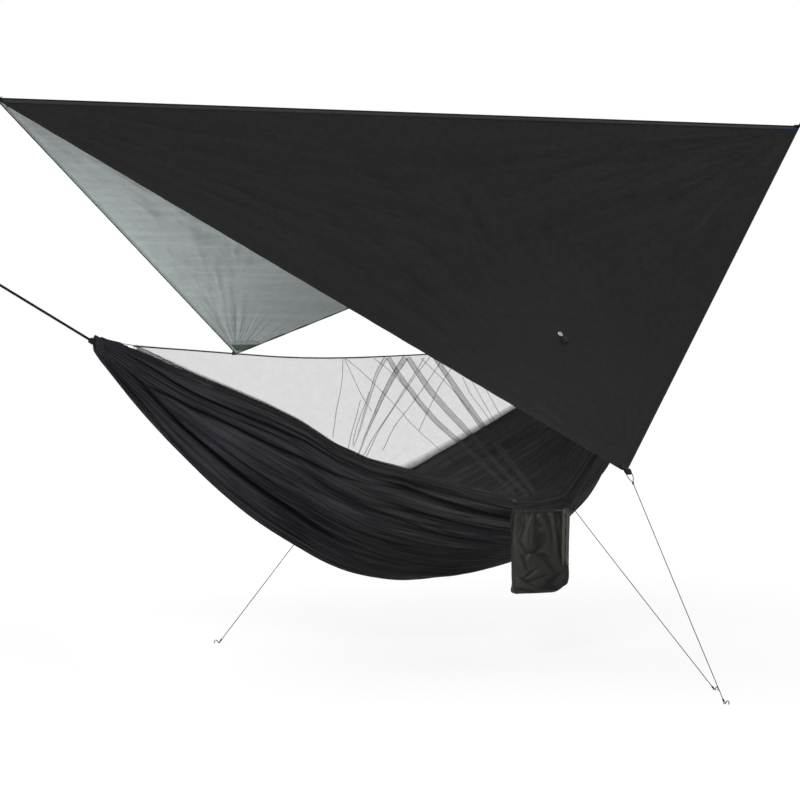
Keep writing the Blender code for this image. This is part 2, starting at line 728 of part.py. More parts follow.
def patch_plate(name, side, pitch, look, outline):
    """A patch sewn on a fly panel: on the near panel's outer face, or under the far panel."""
    _, out = slope_axes(side, pitch)
    lift = -side * (FLY_THICKNESS / 2 + GAP + PATCH_THICKNESS / 2)
    placement = frame_of(RIDGE_MIDDLE + out * lift, X_AXIS * side, out)
    keep(plate(name, [outline], PATCH_THICKNESS, placement), look)


def corner_patch(name, side, pitch, look):
    """The reinforcing patch sewn on a fly panel's free corner."""
    lap = (HEM_WIDTH + 2 * GAP) * math.sqrt(2)
    tip = HALF_DIAGONAL - lap - APEX_HALF_WIDTH
    top = tip - PATCH_LEG / math.sqrt(2)
    crown = arc((0, 0), HALF_DIAGONAL - lap - top, math.pi, 2 * math.pi, ROUND_STEPS)
    outline = [(APEX_HALF_WIDTH, tip), *((x, top + y * PATCH_CROWN_SHARE) for x, y in reversed(crown)),
               (-APEX_HALF_WIDTH, tip)]
    patch_plate(name, side, pitch, look, outline)


def ridge_patch(name, side, pitch, look, end):
    """The reinforcing patch sewn on a fly panel where it meets the ridge's end: end -1 is the head's."""
    lap = (HEM_WIDTH + 2 * GAP) * math.sqrt(2)
    top = SEAM_DIAMETER / 2 + 2 * GAP
    tip = HALF_DIAGONAL - lap - top
    fall = RIDGE_PATCH_LEG / math.sqrt(2)
    outline = [(tip, top), (tip - RIDGE_PATCH_LEG, top), (tip + top - fall, fall)]
    if side * end > 0:
        outline = outline[::-1]
    patch_plate(name, side, pitch, look, [(side * end * x, y) for x, y in outline])


def corner_loop(name, side, pitch, look, patch_above):
    """The webbing loop on a fly panel's free corner; returns its base and its way out."""
    down, out = slope_axes(side, pitch)
    lift = max(FLY_THICKNESS / 2 + (GAP + PATCH_THICKNESS if patch_above else 0), HEM_THICKNESS / 2)
    at = RIDGE_MIDDLE + down * (HALF_DIAGONAL - APEX_HALF_WIDTH) + out * lift
    return webbing_loop(name, at, down, out, STRAP_WIDTH, look), down


def build_fly():
    seam_ends = [RIDGE_MIDDLE - X_AXIS * HALF_DIAGONAL, RIDGE_MIDDLE + X_AXIS * HALF_DIAGONAL]
    keep(tube("fly_ridge_seam", seam_ends, SEAM_DIAMETER, 4), FLY_BLACK)
    lift = Z_AXIS * (SEAM_DIAMETER / 2)
    webbing_loop("ridge_loop_head", seam_ends[0] + lift, -X_AXIS, Z_AXIS, STRAP_WIDTH, WEBBING_BLACK)
    foot_base = webbing_loop("ridge_loop_foot", seam_ends[1] + lift, X_AXIS, Z_AXIS, STRAP_WIDTH,
                             WEBBING_BLACK)
    tie_pull = Vector((math.cos(RIDGE_TIE_ANGLE), 0, math.sin(RIDGE_TIE_ANGLE)))
    tie_start = tie_to_loop("ridge_tie", foot_base, X_AXIS, tie_pull, Y_AXIS, STRAP_WIDTH)
    tie_stop = tie_start + tie_pull * RIDGE_TIE_LENGTH
    tie = PARTS.objects["ridge_tie"]
    tail = tube("ridge_tie_tail", [tie_start - tie_pull * GUY_DIAMETER, tie_stop + tie_pull * GUY_DIAMETER],
                GUY_DIAMETER - 2 * GAP)
    join_to(tie, as_mesh(tail))
    join_to(tie, turned("ridge_tie_knot", knot_profile(GUY_DIAMETER, KNOT_LENGTH_SHARE * GUY_DIAMETER),
                        frame_of(tie_stop, Y_AXIS, tie_pull), KNOT_STEPS))

    fly_panel("fly_near_panel", -1, NEAR_PITCH, FLY_BLACK)
    fly_hem("fly_near_hem", -1, NEAR_PITCH, FLY_BLACK)
    corner_patch("fly_near_patch", -1, NEAR_PITCH, FLY_BLACK)
    near_base, near_out = corner_loop("fly_near_loop", -1, NEAR_PITCH, WEBBING_BLACK, True)
    down, out = slope_axes(-1, NEAR_PITCH)
    tab_at = RIDGE_MIDDLE + X_AXIS * PULL_TAB_ALONG + down * PULL_TAB_DOWN
    tab_at = tab_at + out * (FLY_THICKNESS / 2)
    webbing_loop("fly_pull_tab", tab_at, down, out, TAB_STRAP_WIDTH, WEBBING_BLACK)
    staked_line("fly", near_base, near_out, X_AXIS, STRAP_WIDTH, ground_point(FLY_PEG_X, FLY_PEG_Y))

    fly_panel("fly_far_panel", 1, FAR_PITCH, FLY_SILVER)
    fly_hem("fly_far_hem", 1, FAR_PITCH, BINDING_GREEN)
    corner_patch("fly_far_patch", 1, FAR_PITCH, BINDING_GREEN)
    for end, word in ((-1, "head"), (1, "foot")):
        ridge_patch("fly_far_patch_" + word, 1, FAR_PITCH, BINDING_GREEN, end)
    corner_loop("fly_far_loop", 1, FAR_PITCH, WEBBING_BLACK, False)


# Suspension
def bar_section(name):
    """A forged bar's section, a square with cut corners."""
    half = BAR_SIZE / 2
    cut = half - BAR_CHAMFER
    corners = [(half, -cut), (half, cut), (cut, half), (-cut, half),
               (-half, cut), (-half, -cut), (-cut, -half), (cut, -half)]
    return hide_away(curve_object(name, [corners[::-1]], True, True))


def carabiner(prefix, basket, pull):
    """A carabiner whose basket bears at a point, with its gate, closed, and the gate's pin."""
    side_line = (CARABINER_WIDTH - BAR_SIZE) / 2
    corner = side_line - BASKET_FLAT / 2
    high = BAR_SIZE / 2
    low = high - (CARABINER_LENGTH - BAR_SIZE)
    nose = high - corner - NOSE_STUB
    hinge = low + corner + HINGE_STUB
    quarter = math.pi / 2
    flat = BASKET_FLAT / 2
    path = [(nose, side_line), *arc((high - corner, flat), corner, quarter, 0, CORNER_STEPS),
            *arc((high - corner, -flat), corner, 0, -quarter, CORNER_STEPS),
            *arc((low + corner, -flat), corner, -quarter, -math.pi, CORNER_STEPS),
            *arc((low + corner, flat), corner, math.pi, quarter, CORNER_STEPS), (hinge, side_line)]
    placement = frame_of(basket, pull, -Y_AXIS)
    body = curve_object(prefix + "_carabiner", [[(x, y, 0) for x, y in path]], False, False)
    body.matrix_world = placement
    body.data.bevel_mode = "OBJECT"
    body.data.bevel_object = bar_section(prefix + "_bar_section")
    body.data.use_fill_caps = True
    solid = as_mesh(body)

    pin_at = hinge + PIN_RISE
    ear_thickness = BAR_SIZE / 2 - EAR_SETBACK - TONGUE_THICKNESS / 2 - GAP
    hole = arc((pin_at, side_line), PIN_DIAMETER / 2 + GAP, 0, 2 * math.pi, HOLE_STEPS)[:-1]
    ear_radius = GATE_DIAMETER / 2
    ear = [(hinge - BAR_SIZE / 2, side_line - ear_radius), (hinge - BAR_SIZE / 2, side_line + ear_radius)]
    ear_outline = [*arc((pin_at, side_line), ear_radius, -quarter, quarter, ROUND_STEPS), *reversed(ear)]
    for name, way in (("left", -1), ("right", 1)):
        sideways = way * (BAR_SIZE / 2 - EAR_SETBACK - ear_thickness / 2)
        offset = placement @ Matrix.Translation((0, 0, sideways))
        ear = plate(prefix + "_ear_" + name, [ear_outline, hole], ear_thickness, offset)
        join_to(solid, as_mesh(ear))
    keep(solid, STEEL)

    tongue_radius = ear_radius - GAP
    tongue_end = pin_at + 2 * tongue_radius
    outline = [*arc((pin_at, side_line), tongue_radius, 3 * quarter, quarter, ROUND_STEPS),
               (tongue_end, side_line + tongue_radius), (tongue_end, side_line - tongue_radius)]
    gate = as_mesh(plate(prefix + "_gate", [outline, hole], TONGUE_THICKNESS, placement))
    bar_start = pin_at + ear_radius + GAP
    rod = tube(prefix + "_gate_rod", [(x, side_line, 0) for x in (bar_start, nose - GAP)], GATE_DIAMETER, 4)
    rod.matrix_world = placement
    keep(turn_on(join_to(gate, as_mesh(rod)), placement @ Vector((pin_at, side_line, 0))), STEEL)

    pin_ends = [(0, 0, -BAR_SIZE / 2), (0, 0, BAR_SIZE / 2)]
    pin = tube(prefix + "_gate_pin", pin_ends, PIN_DIAMETER, 4)
    pin.matrix_world = placement @ Matrix.Translation((pin_at, side_line, 0))
    keep(pin, STEEL)
    return pin.matrix_world.translation


def build_suspension():
    bar_from_basket = CARABINER_LENGTH - 1.5 * BAR_SIZE
    knot_length = HEAD_KNOT_SHARE * ROPE_DIAMETER
    wraps = knot_profile(ROPE_DIAMETER, knot_length)
    seat = lean_seat(wraps)
    carabiner("head", Vector((0, 0, 0)), PULL_HEAD)
    rope_end = cord_eye("head_eye", -PULL_HEAD * bar_from_basket, -PULL_HEAD, Y_AXIS, BAR_SIZE / 2,
                        ROPE_DIAMETER, CORD_BLACK, 3)
    keep(turned("head_knot", wraps, frame_of(HEAD + PULL_HEAD * seat, Y_AXIS, PULL_HEAD)), CORD_BLACK)
    rope_start = HEAD + PULL_HEAD * (seat + knot_length + GAP)
    rope_line = straight_line(rope_start, rope_end, 0, LINE_POINTS)
    keep(tube("head_rope", rope_line, ROPE_DIAMETER, 4), CORD_BLACK)

    eye_knot = KNOT_LENGTH_SHARE * ROPE_DIAMETER
    seat = lean_seat([(radius, eye_knot - height)
                      for radius, height in knot_profile(ROPE_DIAMETER, eye_knot)])
    foot_bar = FOOT + PULL_FOOT * (seat + eye_length(BAR_SIZE / 2, ROPE_DIAMETER))
    carabiner("foot", foot_bar + PULL_FOOT * bar_from_basket, PULL_FOOT)
    cord_eye("foot_eye", foot_bar, -PULL_FOOT, Y_AXIS, BAR_SIZE / 2, ROPE_DIAMETER, CORD_BLACK, 3)


# Hammock
def build_hammock():
    keep(cloth("bed", [bed_row(share) for share in STATIONS], BED_THICKNESS), BLACK_NYLON)
    keep(sleeve("head_sleeve", HEAD, X_AXIS), BLACK_NYLON)
    keep(sleeve("foot_sleeve", FOOT, -X_AXIS), BLACK_NYLON)
    keep(edge_strip("near_hem", -1, HEM_START, BED_HEM_HEIGHT, BED_HEM_THICKNESS), BLACK_NYLON)
    keep(edge_strip("far_hem", 1, HEM_START, BED_HEM_HEIGHT, BED_HEM_THICKNESS), BLACK_NYLON)
    keep(edge_strip("zip_tape", -1, ZIP_START, ZIP_HEIGHT, ZIP_THICKNESS), WEBBING_BLACK)
    keep(net_panel("net_near", -1, NEAR_NET_START, 2, 9, NET_FOLD_SHARES), NET_GREY)
    keep(net_panel("net_far", 1, FAR_NET_START, 1, 6, ()), NET_GREY)
    cord_points = [on_stations(ridge_cord_at, share) for share in STATIONS]
    keep(tube("net_ridge_cord", cord_points, RIDGE_CORD_DIAMETER), CORD_BLACK)

    for prefix, side, tie, peg_point in (("near", -1, NEAR_TIE_SHARE, ground_point(NEAR_PEG_X, NEAR_PEG_Y)),
                                         ("far", 1, FAR_TIE_SHARE, ground_point(FAR_PEG_X, FAR_PEG_Y))):
        edge, up, out = edge_frame(tie, side)
        at = edge + up * HEM_START + out * (BED_HEM_THICKNESS / 2)
        pull = (peg_point - at).normalized()
        way = (pull - out * pull.dot(out)).normalized()
        base = webbing_loop(prefix + "_tie_loop", at, way, out, STRAP_WIDTH, WEBBING_BLACK, TIE_TAIL)
        staked_line(prefix, base, way, way.cross(out), STRAP_WIDTH, peg_point)


def zip_slider_frame():
    """The slider's place, closed against the sack's end of its straight stretch of tape: X the way it
    opens, towards the head, Z out of the tape."""
    stretch = STATIONS.index(SACK_RUN_SHARE - SACK_FLAT_SHARE)
    start, start_up, _ = edge_frame(STATIONS[stretch], -1)
    stop, stop_up, _ = edge_frame(STATIONS[stretch - 1], -1)
    height = ZIP_START + ZIP_HEIGHT / 2
    way = (stop + stop_up * height - start - start_up * height).normalized()
    out = (start_up + stop_up).cross(way).normalized()
    out = out if out.y < 0 else -out
    lift = ZIP_THICKNESS / 2 + GAP + SLIDER_THICKNESS / 2
    return frame_of(start + start_up * height + way * SLIDER_LENGTH + out * lift, way, out)


def build_zip_slider():
    placement = zip_slider_frame()
    half = SLIDER_LENGTH / 2
    nose = SLIDER_HEIGHT * SLIDER_NOSE_SHARE / 2
    outline = [(half, -SLIDER_HEIGHT / 2), (half, SLIDER_HEIGHT / 2), (-half, nose), (-half, -nose)]
    body = as_mesh(plate("zip_slider", [outline], SLIDER_THICKNESS, placement, SLIDER_ROUNDING))
    foot = SLIDER_THICKNESS / 2 - SLIDER_ROUNDING
    head = SLIDER_THICKNESS / 2 + LUG_HEIGHT
    bridge = tube("zip_lug", [(-LUG_REACH, 0, foot), (-LUG_REACH, 0, head), (LUG_REACH, 0, head),
                              (LUG_REACH, 0, foot)], LUG_DIAMETER, 2)
    bridge.matrix_world = placement
    keep(join_to(body, as_mesh(bridge)), STEEL)

    bar = PULL_BAR / 2
    slot = [(bar, -PULL_SLOT_WIDTH / 2), (bar, PULL_SLOT_WIDTH / 2), (PULL_SLOT_END, PULL_SLOT_WIDTH / 2),
            (PULL_SLOT_END, -PULL_SLOT_WIDTH / 2)]
    shape = [(-bar, -PULL_WIDTH / 2), (PULL_LENGTH, -PULL_WIDTH / 2), (PULL_LENGTH, PULL_WIDTH / 2),
             (-bar, PULL_WIDTH / 2)]
    lift = Matrix.Translation((0, 0, SLIDER_THICKNESS / 2 + PULL_LIFT))
    keep(plate("zip_pull", [shape, slot], PULL_THICKNESS, placement @ lift), PLASTIC_BLACK)


# Stuff sack, in its own frame: X along the cord that it hangs by, Y into the bed, Z up
def build_hanger():
    """The webbing loop on the near hem that the sack hangs by; returns the placement of its cord in it."""
    edge, up, out = edge_frame(SACK_RUN_SHARE, -1)
    at = edge + up * HEM_START + out * (BED_HEM_THICKNESS / 2)
    base = webbing_loop("sack_hanger", at, -up, out, HANGER_WIDTH, WEBBING_BLACK, TIE_TAIL)
    along = up.cross(out)
    cord_at = base - up * (LOOP_BEARING - DRAWSTRING_DIAMETER / 2 - BAIL_SLACK)
    return frame_of(cord_at, Vector((along.x, along.y, 0)), Z_AXIS)


def sack_outline(fullness, ripple=0.0):
    """The sack's plan at a height: a squared oval, with any puckers round it."""
    points = []
    for i in range(SACK_SIDES):
        angle = 2 * math.pi * i / SACK_SIDES
        swell = 1 + ripple * math.cos(SACK_SIDES / 2 * angle)
        power = 2 / SACK_SQUARENESS
        x = math.copysign(abs(math.cos(angle)) ** power, math.cos(angle)) * SACK_WIDTH / 2
        y = math.copysign(abs(math.sin(angle)) ** power, math.sin(angle)) * SACK_DEPTH / 2
        width = 1 - (1 - fullness) * SACK_END_SHARE
        points.append((x * width * swell, y * fullness * swell))
    return points


def outline_at(outline, x, side):
    """How far an outline lies from its middle at x, on its +Y or -Y side."""
    spans = zip(outline, outline[1:] + outline[:1])
    return next(a[1] + (b[1] - a[1]) * (x - a[0]) / (b[0] - a[0]) for a, b in spans
                if side * (a[1] + b[1]) > 0 and min(a[0], b[0]) <= x <= max(a[0], b[0]) and a[0] != b[0])


def cord_end_at(outline, x, side):
    """Where a cord that runs along Y at x meets an outline, on its +Y or -Y side."""
    reach = DRAWSTRING_DIAMETER / 2
    return side * (max(side * outline_at(outline, place, side) for place in (x - reach, x + reach)) + GAP)


def build_sack():
    placement = build_hanger()
    middle = -SACK_STANDOFF - SACK_DEPTH / 2
    top = SACK_TOP - CHANNEL_HEIGHT - GAP
    rings = [[placement @ Vector((x, middle + y, top - SACK_HEIGHT * share))
              for x, y in sack_outline(fullness)] for share, fullness in SACK_RING_SHARES]
    keep(turn_on(loft("stuff_sack", rings), placement.translation), BLACK_NYLON)
    channel = sack_outline(CHANNEL_SHARE, PUCKER_SHARE)
    outlines = [channel, sack_outline(CHANNEL_SHARE - CHANNEL_WALL_SHARE)]
    lift = Matrix.Translation((0, middle, SACK_TOP - CHANNEL_HEIGHT / 2))
    keep(plate("sack_channel", outlines, CHANNEL_HEIGHT, placement @ lift), BLACK_NYLON)

    side = BAIL_LENGTH / 2
    reach = middle + cord_end_at(channel, side + BAIL_CORNER, 1)
    turn = side + BAIL_CORNER
    path = [(-turn, reach, 0), (-turn, -BAIL_CORNER, 0), (-side, 0, 0), (side, 0, 0),
            (turn, -BAIL_CORNER, 0), (turn, reach, 0)]
    bail = tube("sack_bail", path, DRAWSTRING_DIAMETER)
    bail.matrix_world = placement
    keep(bail, CORD_BLACK)
    build_cord_lock(placement, middle, channel)


def build_cord_lock(placement, middle, channel):
    """The drawstring's cord lock on the sack's front, and the two cord ends that hang from it."""
    front = middle - SACK_DEPTH / 2
    cord_z = LOCK_CORD_HEIGHT
    lock = placement @ Matrix.Translation((LOCK_X, front - LOCK_OUT, SACK_TOP - CHANNEL_HEIGHT / 2 - cord_z))
    bore = BUTTON_DIAMETER / 2 + GAP
    radius = LOCK_DIAMETER / 2
    pair = 2 * DRAWSTRING_DIAMETER + 3 * GAP
    high = DRAWSTRING_DIAMETER + 2 * GAP
    inset = radius - LOCK_ROUNDING
    profile = [(0, LOCK_FLOOR), (bore, LOCK_FLOOR), (bore, LOCK_HEIGHT), (inset, LOCK_HEIGHT),
               (radius, LOCK_HEIGHT - LOCK_ROUNDING), (radius, LOCK_ROUNDING), (inset, 0), (0, 0)]
    body = turned("lock_body", profile, lock, LOCK_STEPS)
    through = LOCK_DIAMETER
    wide = [(-through, -pair / 2), (through, -pair / 2), (through, pair / 2), (-through, pair / 2)]
    hole = as_mesh(plate("lock_cross_hole", [wide], high, lock @ Matrix.Translation((0, 0, cord_z))))
    keep(join_to(body, hole, "DIFFERENCE"), PLASTIC_BLACK)

    button_low = cord_z - high / 2 - BUTTON_WALL
    button_high = cord_z + high / 2 + BUTTON_TRAVEL + BUTTON_WALL
    half = BUTTON_DIAMETER / 2
    shape = [(0, button_high), (half - LOCK_ROUNDING, button_high), (half, button_high - LOCK_ROUNDING),
             (half, button_low), (0, button_low)]
    button = turned("lock_button", shape, lock, LOCK_STEPS)
    tall = high + BUTTON_TRAVEL
    slot_at = lock @ Matrix.Translation((0, 0, cord_z + BUTTON_TRAVEL / 2))
    slot = as_mesh(plate("button_slot", [wide], tall, slot_at))
    keep(join_to(button, slot, "DIFFERENCE"), PLASTIC_BLACK)

    coil_low = LOCK_FLOOR + SPRING_WIRE / 2 + GAP
    coil_high = button_low - BUTTON_TRAVEL - SPRING_WIRE / 2 - GAP
    turns = np.linspace(0, SPRING_CURLS, SPRING_CURLS * SPRING_STEPS + 1)
    coil_radius = half - SPRING_WIRE
    coil = [(coil_radius * math.cos(2 * math.pi * turn), coil_radius * math.sin(2 * math.pi * turn),
             coil_low + (coil_high - coil_low) * turn / SPRING_CURLS) for turn in turns]
    spring = tube("lock_spring", coil, SPRING_WIRE, 1)
    spring.matrix_world = lock
    keep(spring, STEEL)

    level = cord_z - DRAWSTRING_DROP
    for way, word in ((1, "inner"), (-1, "outer")):
        lane = way * (DRAWSTRING_DIAMETER + GAP) / 2
        turn_x = radius + CORD_BEND * TURN_BENDS[word]
        lead = -radius - CORD_BEND * LEAD_BENDS[word]
        hang = -way * (DRAWSTRING_DIAMETER + GAP) / 2
        channel_y = middle + cord_end_at(channel, LOCK_X + lead, -1) - (front - LOCK_OUT)
        path = [(lead, channel_y, cord_z), (lead, lane + CORD_BEND / 2, cord_z),
                (lead + CORD_BEND, lane, cord_z), (turn_x - CORD_BEND, lane, cord_z),
                (turn_x, lane, cord_z - CORD_BEND),
                *((turn_x + (KNOT_X + hang - turn_x) * share, lane + (CORD_LIE - lane) * share,
                   cord_z - CORD_BEND + (level - cord_z + CORD_BEND) * share) for share in CORD_HANG_SHARES)]
        cord = tube("drawstring_" + word, path, DRAWSTRING_DIAMETER)
        cord.matrix_world = lock
        keep(cord, CORD_BLACK)
    knot_length = KNOT_LENGTH_SHARE * DRAWSTRING_DIAMETER
    knot_at = Matrix.Translation((KNOT_X, CORD_LIE, level - GAP - knot_length))
    profile = [(radius * PAIR_KNOT_SHARE, height)
               for radius, height in knot_profile(DRAWSTRING_DIAMETER, knot_length)]
    keep(turned("drawstring_knot", profile, lock @ knot_at), CORD_BLACK)


build_fly()
build_suspension()
build_hammock()
build_zip_slider()
build_sack()
bpy.context.view_layer.update()
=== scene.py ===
import math

import bpy
import numpy as np
from mathutils import Matrix, Vector, noise


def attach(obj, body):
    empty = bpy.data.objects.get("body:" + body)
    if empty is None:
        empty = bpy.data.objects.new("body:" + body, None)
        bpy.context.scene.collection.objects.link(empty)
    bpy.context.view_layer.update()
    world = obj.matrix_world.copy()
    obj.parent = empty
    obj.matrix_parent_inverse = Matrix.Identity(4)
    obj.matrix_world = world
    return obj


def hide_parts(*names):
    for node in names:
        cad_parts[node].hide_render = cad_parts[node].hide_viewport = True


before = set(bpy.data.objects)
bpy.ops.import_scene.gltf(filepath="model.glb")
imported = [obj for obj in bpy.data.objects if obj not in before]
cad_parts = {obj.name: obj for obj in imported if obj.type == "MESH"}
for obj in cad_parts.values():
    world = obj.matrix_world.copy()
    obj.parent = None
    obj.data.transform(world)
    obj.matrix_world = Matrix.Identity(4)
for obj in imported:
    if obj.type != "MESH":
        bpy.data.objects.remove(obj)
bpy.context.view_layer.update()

# Camera, at the photograph's angle
CAMERA_AT = (-4.5176, -10.1862, -0.0480)
CAMERA_YAW = math.radians(32.05614597)
CAMERA_PITCH = math.radians(-2.28567929)

camera_data = bpy.data.cameras.new("camera")
camera_data.lens = 135.0
camera_data.sensor_width = 36.0
camera_data.clip_end = 300.0
camera = bpy.data.objects.new("camera", camera_data)
camera.location = CAMERA_AT
camera.rotation_euler = (math.pi / 2 + CAMERA_PITCH, 0, -CAMERA_YAW)
bpy.context.scene.collection.objects.link(camera)
bpy.context.scene.camera = camera

# Set-out shared with the solids
HEAD = Vector((0.505803, 0, -0.283842))
SPAN = 2.705
FOOT = HEAD + Vector((SPAN, 0, 0))
RIDGE = Vector((2.009188, 0, 0.621))
HALF_DIAGONAL = 1.909188
GROUND = -1.549
NEAR_PITCH = math.radians(45.99)
FAR_PITCH = math.radians(31.64)
SEAM_DIAMETER = 0.007
HEM_WIDTH = 0.014
APEX_HALF_WIDTH = 0.014
TAB_DOWN = 1.235
TAB_ALONG = 0.041
GAP = 0.0003

BED_THICKNESS = 0.0018
BED_DEPTH = 0.967
SECTION_POWER = 1.18
BOTTOM_SHARES = ((0.0, 0.039), (0.056, 0.212), (0.137, 0.44), (0.236, 0.674), (0.325, 0.829), (0.389, 0.922),
                 (0.504, 1.0), (0.626, 0.971), (0.706, 0.897), (0.764, 0.804), (0.818, 0.689), (0.864, 0.521),
                 (0.925, 0.29), (1.0, 0.041))
NEAR_TIE = 0.6628
FAR_TIE = 0.5187
NEAR_OUT = 0.540
FAR_OUT = 0.520
NEAR_DEPTH = 0.629
FAR_DEPTH = 0.615
NEAR_EDGE_SHARES = ((0.0, -0.035), (0.0336, 0.037), (0.0743, 0.122), (0.1425, 0.258), (0.2112, 0.382),
                    (0.2806, 0.526), (0.3578, 0.74), (0.4144, 0.81), (0.4787, 0.903), (0.536, 0.976),
                    (0.5827, 1.03), (0.6628, 1.0), (0.70, 0.9), (0.741, 0.78), (0.87, 0.39), (1.0, -0.032))
FAR_EDGE_SHARES = ((0.0, -0.035), (0.122, 0.26), (0.254, 0.51), (0.387, 0.78), (0.5187, 1.0), (0.594, 0.961),
                   (0.6605, 0.8), (0.7202, 0.6455), (0.7765, 0.491), (0.89, 0.21), (1.0, -0.032))
NET_SAG_SHARES = ((0.0, 0.0), (0.04, 0.27), (0.136, 0.54), (0.227, 0.76), (0.303, 0.93), (0.389, 1.0),
                  (0.476, 0.967), (0.543, 0.91), (0.763, 0.62), (1.0, 0.0))
GATHER_HALF_WIDTH = 0.014
NET_RISE = 0.022
NET_SAG = 0.092
SLEEVE_DEPTH = 0.020
EDGE_START = 0.06
SACK_RUN = 0.6092
SACK_FLAT = 0.016
TIE_FLAT = 0.005
BED_START = (SLEEVE_DEPTH + GAP + BED_THICKNESS / 2) / SPAN
HEM_START = BED_THICKNESS / 2 + 2 * GAP
HEM_HEIGHT = 0.010
ZIP_START = HEM_START + HEM_HEIGHT + GAP
ZIP_HEIGHT = 0.022
NEAR_NET_START = ZIP_START + ZIP_HEIGHT + GAP
FAR_NET_START = HEM_START + HEM_HEIGHT + GAP
NET_BELLY = 0.020
EDGE_STEP = 0.004
EYE_SLACK = 0.001
FLY_THICKNESS = 0.0012
TINY = 1e-12
SMALL = 1e-9


def through(shares, at):
    """Values at many shares of a run, on a smooth curve through (run share, value share) pairs."""
    runs, values = np.array(shares).T
    at = np.asarray(at, float)
    slopes = np.gradient(values, runs)
    i = np.clip(np.searchsorted(runs, at) - 1, 0, len(runs) - 2)
    step = runs[i + 1] - runs[i]
    t = (at - runs[i]) / step
    return ((2 * t**3 - 3 * t**2 + 1) * values[i] + (t**3 - 2 * t**2 + t) * step * slopes[i]
            + (3 * t**2 - 2 * t**3) * values[i + 1] + (t**3 - t**2) * step * slopes[i + 1])


def smooth_step(low, high, at):
    t = np.clip((np.asarray(at, float) - low) / (high - low), 0, 1)
    return t * t * (3 - 2 * t)


def run_lengths(points):
    """Lengths along a path, from its first point to each point."""
    return np.concatenate([[0], np.cumsum(np.linalg.norm(np.diff(points, axis=0), axis=1))])


def sampled(at, runs, values):
    """Points of a path, read at given lengths along it."""
    return np.stack([np.interp(at, runs, values[:, i]) for i in range(values.shape[1])], -1)


# Shares of the span where the bed's edges bend, since the solids run straight between them
ENDS = list(np.linspace(BED_START, EDGE_START, 4)[:-1])
STATIONS = np.array([*ENDS, *np.linspace(EDGE_START, FAR_TIE - TIE_FLAT, 11), FAR_TIE + TIE_FLAT,
                     SACK_RUN - SACK_FLAT, SACK_RUN + SACK_FLAT, NEAR_TIE - TIE_FLAT,
                     *np.linspace(NEAR_TIE + TIE_FLAT, 1 - EDGE_START, 6), *(1 - s for s in reversed(ENDS))])


def edge_curve(shares, side):
    shares = np.asarray(shares, float)
    tie, out, depth, table = ((NEAR_TIE, NEAR_OUT, NEAR_DEPTH, NEAR_EDGE_SHARES) if side < 0
                              else (FAR_TIE, FAR_OUT, FAR_DEPTH, FAR_EDGE_SHARES))
    width = GATHER_HALF_WIDTH + (out - GATHER_HALF_WIDTH) * np.minimum(shares / tie, (1 - shares) / (1 - tie))
    return np.stack([HEAD.x + SPAN * shares, side * width, HEAD.z - depth * through(table, shares)], -1)


def ridge_curve(shares):
    shares = np.asarray(shares, float)
    return np.stack([HEAD.x + SPAN * shares, 0 * shares,
                     HEAD.z + NET_RISE - NET_SAG * through(NET_SAG_SHARES, shares)], -1)


def between_stations(curve, shares):
    """Points at shares of the span, on the straight stretches between the stations."""
    return sampled(shares, STATIONS, curve(STATIONS))


def turns(count):
    """Angles all round, the last of them short of the first."""
    return np.linspace(0, 2 * math.pi, count, endpoint=False)


def unit(v):
    return v / np.linalg.norm(v, axis=-1, keepdims=True)


def edge_places(side, shares):
    """Points of one of the bed's edges, at shares of the span."""
    return between_stations(lambda s: edge_curve(s, side), shares)


def edge_frames(shares, side):
    """Edge points, the ways up the net, the ways out of it, and the net's heights, at shares of the span."""
    shares = np.asarray(shares, float)
    edge = edge_places(side, shares)
    rise = between_stations(ridge_curve, shares) - edge
    height = np.linalg.norm(rise, axis=-1)
    up = rise / height[:, None]
    out = unit(np.cross(up, edge_places(side, shares + EDGE_STEP) - edge_places(side, shares - EDGE_STEP)))
    return edge, up, np.where(out[:, 1:2] * side > 0, out, -out), height


def sheet_area(grid):
    """The area of a grid of points, from the diagonals of its quads."""
    crossed = np.cross(grid[1:, 1:] - grid[:-1, :-1], grid[1:, :-1] - grid[:-1, 1:])
    return float(np.linalg.norm(crossed, axis=-1).sum() / 2)


# Materials
def add_node(tree, kind, inputs=(), **settings):
    """A node of a kind, with its settings, and with its inputs set to values or linked to outputs."""
    node = tree.nodes.new("ShaderNode" + kind)
    for name, value in settings.items():
        setattr(node, name, value)
    for socket, value in dict(inputs).items():
        if isinstance(value, bpy.types.NodeSocket):
            tree.links.new(value, node.inputs[socket])
        else:
            node.inputs[socket].default_value = value
    return node


